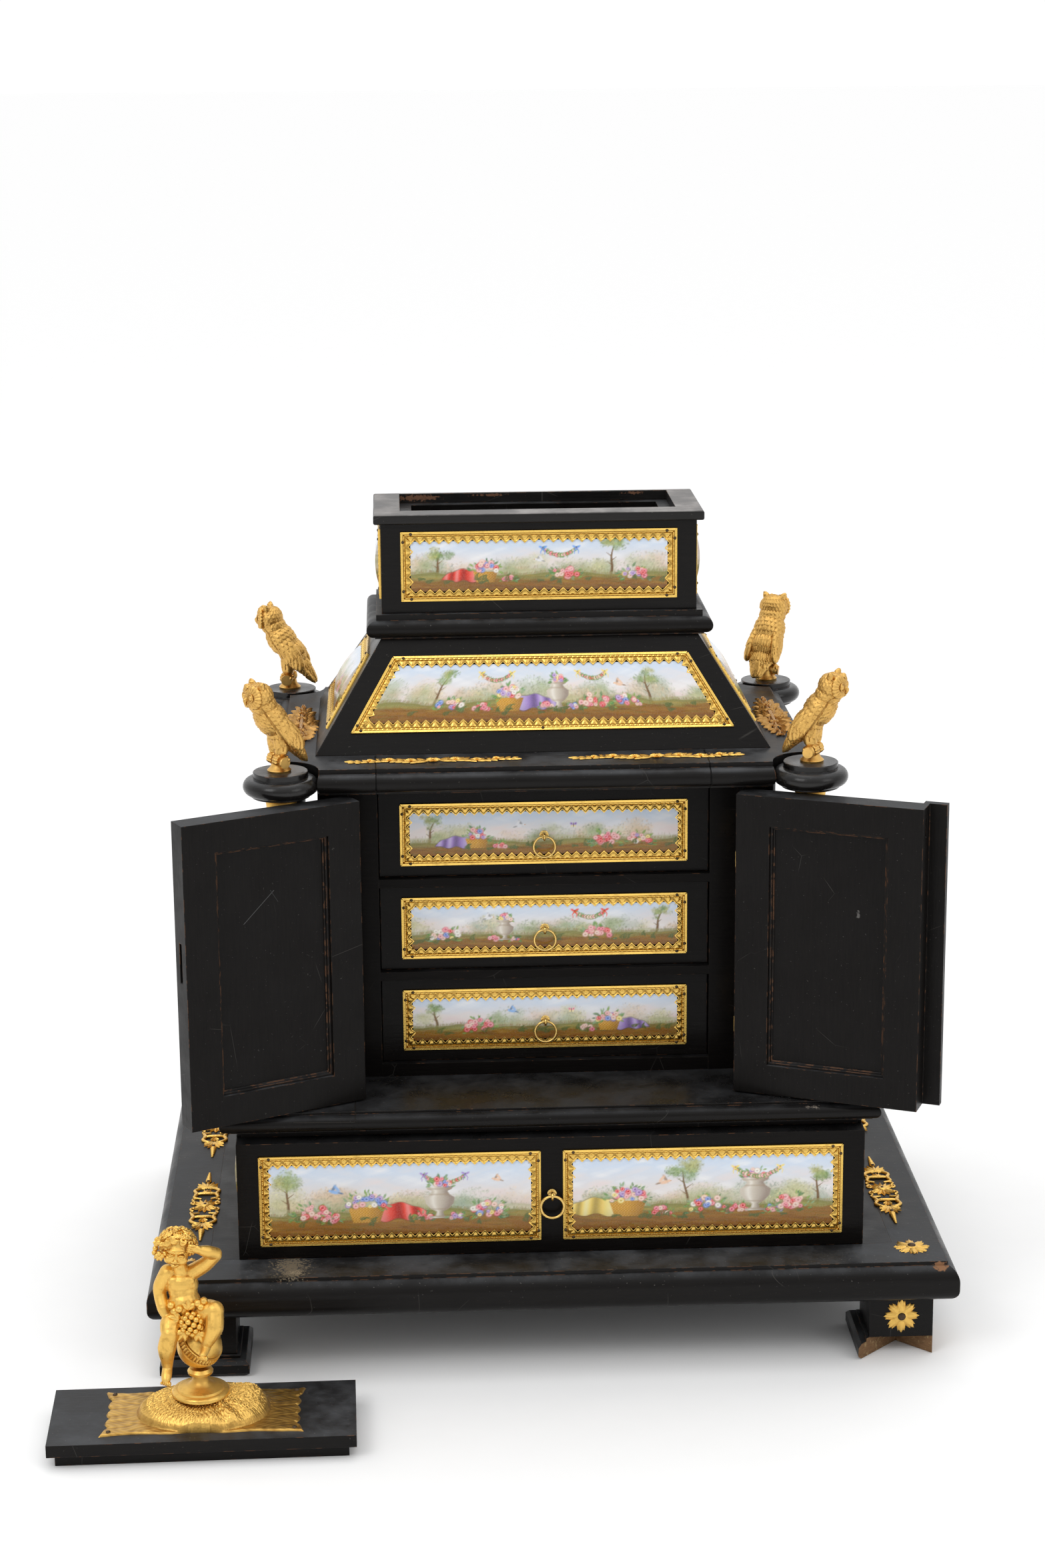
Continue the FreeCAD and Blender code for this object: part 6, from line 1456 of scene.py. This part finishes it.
def pelt_height(x, y):
    """How high the pelt rises at a place in millimetres from its middle, and how dark its hollows are."""
    far = np.hypot(x / 31.5, y / 22.5)
    turn = np.arctan2(y / 22.5, x / 31.5)
    mound = 9.4 * clip(1 - far ** 2.6) ** 0.62
    inside, skirt = clip((1.02 - far) * 6), clip((far - 0.9) * 4)
    reach = np.hypot(x, y)
    tufts = shingles(turn * 27 + 0.8 * np.sin(reach * 0.9) + 60, reach, 2.3, 3.6)
    fine = 0.3 * np.sin(turn * 150 + 4 * np.sin(reach * 0.7)) * np.sin(reach * 2.1 + 3 * np.sin(turn * 12))
    folds = 1.1 * np.sin(turn * 17) * np.exp(-((turn + 1.0) / 0.5) ** 2) * clip(far * 1.6 - 0.4)
    muzzle = 3.4 * np.exp(-((x - 23) / 8.0) ** 2 - ((y - 5) / 8.5) ** 2)
    curls = (0.7 * np.sin(x * 1.5 + 1.3 * np.sin(y * 0.9)) * np.sin(y * 1.6 + 1.2 * np.sin(x * 0.8))
             * (muzzle / 3.4))
    creases = 0.1 * np.sin(x * 0.9 + 2.6 * np.sin(y * 0.6)) * np.sin(y * 1.3 + 2 * np.sin(x * 0.31))
    pleats = (0.05 * np.cos(turn * 30 + 0.9 * np.sin(turn * 7)) + creases) * skirt
    height = mound + muzzle + curls + inside * (0.75 * tufts + fine + folds) + pleats
    dark = (clip(0.75 - 0.9 * tufts - 0.5 * fine, 0, 0.8) * inside
            + clip(0.45 - pleats * 2.2, 0, 0.8) * (far > 0.95))
    return height, dark


def lid_pelt():
    """The gilt pelt on the lid, with a nail in each corner."""
    low, high = box_of("lid_pelt")
    centre, half = (low + high) / 2, (high - low) / 2
    u, v = np.meshgrid(np.linspace(-1, 1, 321), np.linspace(-1, 1, 161))
    lobes = 0.045 * np.abs(np.cos(v * math.pi * 2.5)) ** 0.7
    ends = np.where(np.abs(v) > 0.72, 1.0 - 0.035 * (1 - clip((np.abs(v) - 0.72) / 0.28)), 0.915 + lobes)
    sides = 0.93 + 0.02 * np.sin(u * 11 + v) + 0.07 * clip((np.abs(u) - 0.80) / 0.2) ** 2
    x, y = u * ends * half.x, v * sides * half.y
    rise, dark = pelt_height(x, y)
    rise = (0.95 + np.maximum(rise, -0.5)) * clip(np.minimum(1 - np.abs(u), 1 - np.abs(v)) * 60)
    rows = np.stack([centre.x + x, centre.y + y, low.z + rise], axis=2)
    Build().grid(rows, tone=dark).object("lid_fur_pelt", "lid", GILT_PELT, "lid_pelt", 65.0)
    nails = Build()
    for x in SIDES:
        for y in SIDES:
            spot = moved(centre.x + x * (half.x - 4.4), centre.y + y * (half.y - 3.4), low.z + 0.85)
            nails.join(dome(1.25, 0.8, 12, 3), spot)
    nails.object("pelt_nails", "lid", IRON)


BALL_RADIUS = 11.0
MILLED_HALF = 1.5
# the bands on both sides of the ball's milled belt: where each ends, its relief and its tarnish
BALL_BANDS = ((1.8, -0.35, 0.85), (2.5, 0.4, 0.0), (2.8, -0.3, 0.8), (99, 0.0, 0.0))


def lid_ball():
    """The ball on its stand, with the putto on it."""
    low, high = box_of("lid_pedestal")
    x, y = (low.x + high.x) / 2, (low.y + high.y) / 2
    body = lathe([(ring, low.z + height) for ring, height in BALL_STAND], 56, (x, y, 0))
    middle = high.z - BALL_RADIUS
    tilt = Matrix.Rotation(0.62, 3, "Y") @ Matrix.Rotation(0.35, 3, "X")
    rows, tones = [], []
    for level in np.linspace(-QUARTER, QUARTER, 150):
        off = abs(BALL_RADIUS * math.sin(level) - 1.0)
        _, band, shade = next(row for row in BALL_BANDS if off < row[0])
        row, tone = [], []
        for spin in np.linspace(0, TAU, 240, endpoint=False):
            wave = math.cos(spin * 40)
            rise, dark = (0.35 * wave, max(0.35 - 0.45 * wave, 0.0)) if off < MILLED_HALF else (band, shade)
            point = Vector((math.cos(level) * math.cos(spin), math.cos(level) * math.sin(spin),
                            math.sin(level)))
            point = tilt @ point * (BALL_RADIUS - 0.4 + rise)
            row.append((x + point.x, y + point.y, middle + point.z))
            tone.append(dark)
        rows.append(row)
        tones.append(tone)
    body.join(Build().grid(rows, round_columns=True, caps=True, tone=tones))
    body.object("lid_ball_stand", "lid", GILT, "lid_pedestal", 45.0)
    putto(x, y, middle)


def putto(x, y, middle):
    """A chubby putto on the ball, one hand at its brow, with grapes in its lap and a wreath in its curls."""
    def at(across, along, up):
        """A place from the ball's centre, up counted from there."""
        return Vector((x + across, y + along, middle + up))

    head = at(-8.6, -1.4, 49.2)
    lean = spun(0.16, "Y") @ spun(0.14, "X")

    def on_head(a, b, c):
        return head + lean @ Vector((a, b, c))

    flesh = Build()
    add_forms(flesh, (
        ((-5.2, 0.5, 15.0), (8.6, 7.6, 7.0)), ((-6.0, -2.0, 23.0), (7.7, 7.5, 7.2)),
        ((-6.6, -1.0, 28.0), (6.9, 6.2, 5.5)), ((-7.0, 0.0, 31.4), (7.7, 6.3, 7.0)),
        ((-10.2, -3.1, 33.9), (3.4, 2.1, 2.9)), ((-13.2, 0.3, 37.0), (3.8, 3.6, 3.4)),
        ((-4.2, -3.1, 33.9), (3.4, 2.1, 2.9)), ((-1.4, 0.3, 37.0), (3.8, 3.6, 3.4)),
        (((-7.3, 0.4, 37), (-7.9, 0.0, 41), (-8.4, -0.6, 44.5)), (4.0, 3.5, 3.7)),
    ), at)
    add_forms(flesh, (
        ((0, 0.8, 1.6), (6.7, 6.9, 6.5)), ((0, -1.5, -1.7), (5.7, 5.5, 5.2)),
        ((-2.9, -4.1, -2.7), (2.7, 2.4, 2.5)), ((-6.0, 0.6, -1.0), (1.0, 1.5, 1.9)),
        ((2.9, -4.1, -2.7), (2.7, 2.4, 2.5)), ((6.0, 0.6, -1.0), (1.0, 1.5, 1.9)),
        ((0, -5.4, -5.1), (1.9, 1.6, 1.4)), ((0, -4.9, 2.2), (4.4, 2.1, 2.0)),
    ), on_head)
    add_forms(flesh, (
        (((-10, -2, 14.6), (-12.2, -6.5, 13.6), (-12.8, -10.2, 10.8)), (6.2, 5.5, 4.2)),
        (((-12.8, -10.2, 10.4), (-14.4, -10.8, 3.8), (-14.6, -9.4, -3.0), (-14.6, -9.0, -6.8)),
         (4.2, 4.4, 3.0, 2.3)),
        ((-14.6, -8.4, -7.6), (2.2, 2.4, 2.1)),
        (((-14.7, -9.4, -7.4), (-15.0, -12.0, -9.6), (-15.2, -13.6, -11.0)), (2.4, 2.5, 2.1)),
        (((-1.4, -2, 15.2), (4.2, -5.6, 19.6), (8.2, -8.6, 21.4)), (6.4, 5.8, 4.6)),
        (((8.2, -9.0, 20.6), (8.0, -12.0, 14.2), (5.4, -12.4, 8.2), (4.2, -12.2, 6.0)), (4.4, 4.4, 3.0, 2.4)),
        (((4.2, -11.8, 5.0), (3.4, -14.6, 3.6), (2.6, -17.2, 2.8)), (2.3, 2.1, 1.7)),
        (((-13.6, 0.3, 37.2), (-16.8, 0.8, 30.4), (-17.4, 0.2, 26.2), (-15.8, -3.2, 20.6),
          (-14.4, -5.0, 17.6)), (3.9, 3.8, 3.1, 3.0, 2.2)),
        ((-13.4, -6.6, 16.6), (2.7, 2.5, 1.9)),
        (((-1.4, 0.3, 37.4), (4.2, -0.4, 41.2), (9.2, -2.0, 46.4)), (3.9, 3.6, 3.1)),
        (((9.2, -2.2, 47.0), (5.6, -5.0, 49.4), (2.4, -6.8, 51.0)), (3.1, 3.0, 2.1)),
        ((0.9, -7.6, 51.8), (2.8, 1.7, 2.0), spun(0.35, "Y")),
    ), at)
    points, _, faces = merged(flesh, 0.28, 4)
    dress(in_scene("putto_body", mesh_of("putto_body", points, faces)), "lid", GILT, "lid_putto", 70.0)

    extra = Build()

    def shaded(part, tone=0.0):
        """A part darkened by a tone: painted shade in the eye sockets, the nostrils and the line between the
        lips.
        """
        part.tone = [tone] * len(part.points)
        extra.join(part)

    for side in SIDES:
        def beside(a, b, c):
            return on_head(side * a, b, c)

        # a dark ball behind each eye is painted shade in its socket
        shaded(ball(beside(2.4, -5.35, -0.1), (1.75, 1.0, 1.15)), 0.85)
        shaded(ball(beside(2.4, -5.75, -0.3), (1.35, 0.95, 0.85)))
        for line, size in ((((0.9, -6.3, 0.3), (2.4, -6.85, 0.95), (4.0, -5.6, 0.2)), 0.36),
                           (((0.7, -6.8, 2.0), (2.5, -6.9, 2.9), (4.4, -5.4, 2.1)), 0.5)):
            shaded(tube(bent([beside(*point) for point in line], 5), size, 8))
        # the nostrils are a little darker: painted shade
        shaded(ball(beside(0.75, -7.3, -2.1), (0.6, 0.7, 0.55)), 0.1)
    shaded(limb([on_head(0, -6.3, 1.8), on_head(0, -7.3, -0.9), on_head(0, -7.9, -1.8)], [0.6, 0.8, 1.05],
                12))
    # the middle line of the mouth is painted shade between the lips
    for a, b, c, droop, size, tone in ((1.8, -6.75, -3.3, 0.2, 0.45, 0.0),
                                       (1.9, -6.7, -3.75, -0.05, 0.3, 0.95),
                                       (1.3, -6.7, -4.3, -0.3, 0.55, 0.0)):
        lip = [on_head(-a, b + 0.5, c), on_head(0, b - 0.35, c + droop), on_head(a, b + 0.5, c)]
        shaded(tube(bent(lip, 5), size, 8), tone)
    extra.join(ball(on_head(0, 2.0, 2.6), (8.0, 7.2, 6.8)))
    chance = random.Random(7)
    for _ in range(190):
        turn = chance.uniform(-math.pi, math.pi)
        rise = math.asin(chance.uniform(-0.45, 0.98))
        out = Vector((math.cos(turn) * math.cos(rise), math.sin(turn) * math.cos(rise), math.sin(rise)))
        if out.y < -0.3 and rise < 0.5:
            continue
        centre = on_head(0, 1.6, 2.4) + lean @ Vector((out.x * 8.5, out.y * 7.8, out.z * 7.2))
        side = out.cross(Vector((0, 0, 1))).normalized()
        up = side.cross(out)
        size = chance.uniform(1.5, 2.2)
        begin = chance.uniform(0, 6)
        curl = [centre + (side * math.cos(begin + t) + up * math.sin(begin + t)) * size * (1 - 0.13 * t)
                + out * (0.15 * t - 0.3) for t in np.linspace(0, 6.0, 14)]
        extra.join(tube(curl, np.linspace(0.75, 0.5, 14), 6))
    grapes = []
    for step in range(17):
        turn = step * 2.4
        grapes.append((on_head(-7.6 + 2.6 * math.cos(turn), -3.0 + 2.0 * math.sin(turn),
                               2.2 + 3.4 * math.sin(step * 1.1)), 1.35, None, 12, 8))
    for step in range(40):
        turn, level = step * 2.4, 2 * (step + 0.5) / 40 - 1
        ring = math.sqrt(1 - level * level)
        grapes.append((at(-2.4 + 4.9 * ring * math.cos(turn), -9.6 + 3.6 * ring * math.sin(turn),
                          15.4 + 5.2 * level), 1.5, None, 12, 8))
    for place in ((-10.4, -8.4, 21.4), (-8.0, -9.6, 23.0), (-11.8, -7.4, 24.0), (0.6, -8.8, 25.4),
                  (3.4, -8.4, 26.2), (2.0, -9.4, 23.6)):
        grapes.append((at(*place), 1.9, None, 14, 10))
    for grape in grapes:
        extra.join(ball(*grape))
    vine = ((-8.2, -9.4, 17.6, 2.8), (-6.0, -11.0, 12.2, 4.1), (0.6, -11.6, 11.6, 5.1), (3.0, -10.2, 19, 0.5),
            (-3.6, -9.0, 22, 1.6), (-8.4, -9.2, 13.6, 3.7))
    wreath = ((-4.4, -6.2, 5.0, 1.9), (-7.6, -5.0, -0.6, 4.3), (-8.2, -4.4, 5.2, 2.4), (-2.4, -6.0, 6.4, 1.2))
    for leaves, whose, spread, length, longer, form in ((vine, at, 0.7, 4.8, 5.8, (3.0, 0.9, 0.3)),
                                                        (wreath, on_head, 0.6, 3.4, 3.4, (2.3, 0.7, 0.2))):
        for a, b, c, turn in leaves:
            for way in (-spread, 0.0, spread):
                extra.join(petal(length if way else longer, *form),
                           moved(*whose(a, b, c)) @ spun(QUARTER, "X") @ spun(turn + way))
    for foot in (at(-15.2, -13.6, -11.4), at(2.6, -17.0, 2.5)):
        for toe in range(5):
            size = 1.15 - 0.12 * toe
            spot = foot + Vector((1.7 - toe * 0.95, -1.6 + 0.12 * toe, -0.9 + 0.1 * toe))
            extra.join(ball(spot, (0.75 * size, 1.1 * size, 1.2 * size), None, 10, 8))
    for hand, way in ((at(0.9, -7.6, 51.8), Vector((-0.9, -0.2, 0.2))),
                      (at(-13.4, -6.6, 16.6), Vector((0.5, -0.6, -0.6)))):
        side = way.cross(Vector((0, 1, 0.3))).normalized()
        for finger in range(4):
            root = hand + side * (finger - 1.5) * 1.15 + way * 1.4
            extra.join(limb([root, root + way * 1.7, root + way * 3.0 + Vector((0, 0.5, -0.3))],
                            [0.8, 0.72, 0.5], 8, 4))
    extra.object("putto_curls_and_grapes", "lid", GILT, None, 70.0, 0.0003)


def floor_and_light():
    """A plain pale floor, soft white light all round and three large lamps."""
    bpy.ops.mesh.primitive_plane_add(size=60)
    floor = bpy.context.object
    floor.name = "floor"
    g = Graph("floor_paper")
    floor.data.materials.append(g.finish(Base_Color=g.mix(g.noise(40, 2.0), (0.93,) * 3, (0.95,) * 3),
                                         Roughness=0.9, Specular_IOR_Level=0.1))
    floor.location.z = -0.0002
    world = bpy.data.worlds.new("studio")
    bpy.context.scene.world = world
    world.use_nodes = True
    nodes, links = world.node_tree.nodes, world.node_tree.links
    split = nodes.new("ShaderNodeSeparateXYZ")
    links.new(nodes.new("ShaderNodeTexCoord").outputs["Generated"], split.inputs[0])
    most = nodes.new("ShaderNodeMath")
    most.operation = "MAXIMUM"
    for index, (axis, low, high, to_high) in enumerate(((1, -0.6, 0.6, 1.02), (2, 0.25, 0.9, 1.25))):
        ramp = nodes.new("ShaderNodeMapRange")
        links.new(split.outputs[axis], ramp.inputs["Value"])
        for key, size in (("From Min", low), ("From Max", high), ("To Min", 0.6), ("To Max", to_high)):
            ramp.inputs[key].default_value = size
        links.new(ramp.outputs["Result"], most.inputs[index])
    nodes["Background"].inputs[0].default_value = (1, 1, 1, 1)
    links.new(most.outputs[0], nodes["Background"].inputs[1])
    for name, place, size, power, height in (("key", (-1.3, -1.5, 1.9), 1.0, 11, 0.22),
                                             ("fill", (1.5, -1.3, 1.2), 0.9, 4, 0.22),
                                             ("top", (0.1, 0.5, 2.2), 1.2, 5, 0.2)):
        lamp = bpy.data.lights.new(name, "AREA")
        lamp.size = size
        lamp.energy = power
        made = in_scene(name, lamp)
        made.location = place
        made.rotation_euler = (Vector((0, 0, height)) - Vector(place)).to_track_quat("-Z", "Y").to_euler()


def photograph_camera():
    """The camera where the photograph was taken."""
    yaw, pitch, roll = (math.radians(angle) for angle in (CAMERA_YAW, CAMERA_PITCH, CAMERA_ROLL))
    ahead = Vector((math.sin(yaw) * math.cos(pitch), math.cos(yaw) * math.cos(pitch), -math.sin(pitch)))
    level = Vector((math.cos(yaw), -math.sin(yaw), 0))
    right = level * math.cos(roll) + level.cross(ahead) * math.sin(roll)
    data = bpy.data.cameras.new("camera")
    data.sensor_width = SENSOR
    data.sensor_fit = "AUTO"
    data.lens = CAMERA_FOCUS_PIXELS / PHOTO_HEIGHT * SENSOR
    data.clip_start = 0.05
    data.clip_end = 20
    made = in_scene("camera", data)
    place = Vector(CAMERA_PLACE) * MM
    made.matrix_world = Matrix((*zip(right, right.cross(ahead), -ahead, place), (0, 0, 0, 1)))
    bpy.context.scene.camera = made


photograph_camera()
floor_and_light()
dress_wood()
plaques_and_strips()
hinge_knuckles()
door_beads()
ring_pulls()
column_pieces()
rosettes()
flat_mounts()
owls()
lid_pelt()
lid_ball()

bpy.context.scene.view_settings.view_transform = "Standard"
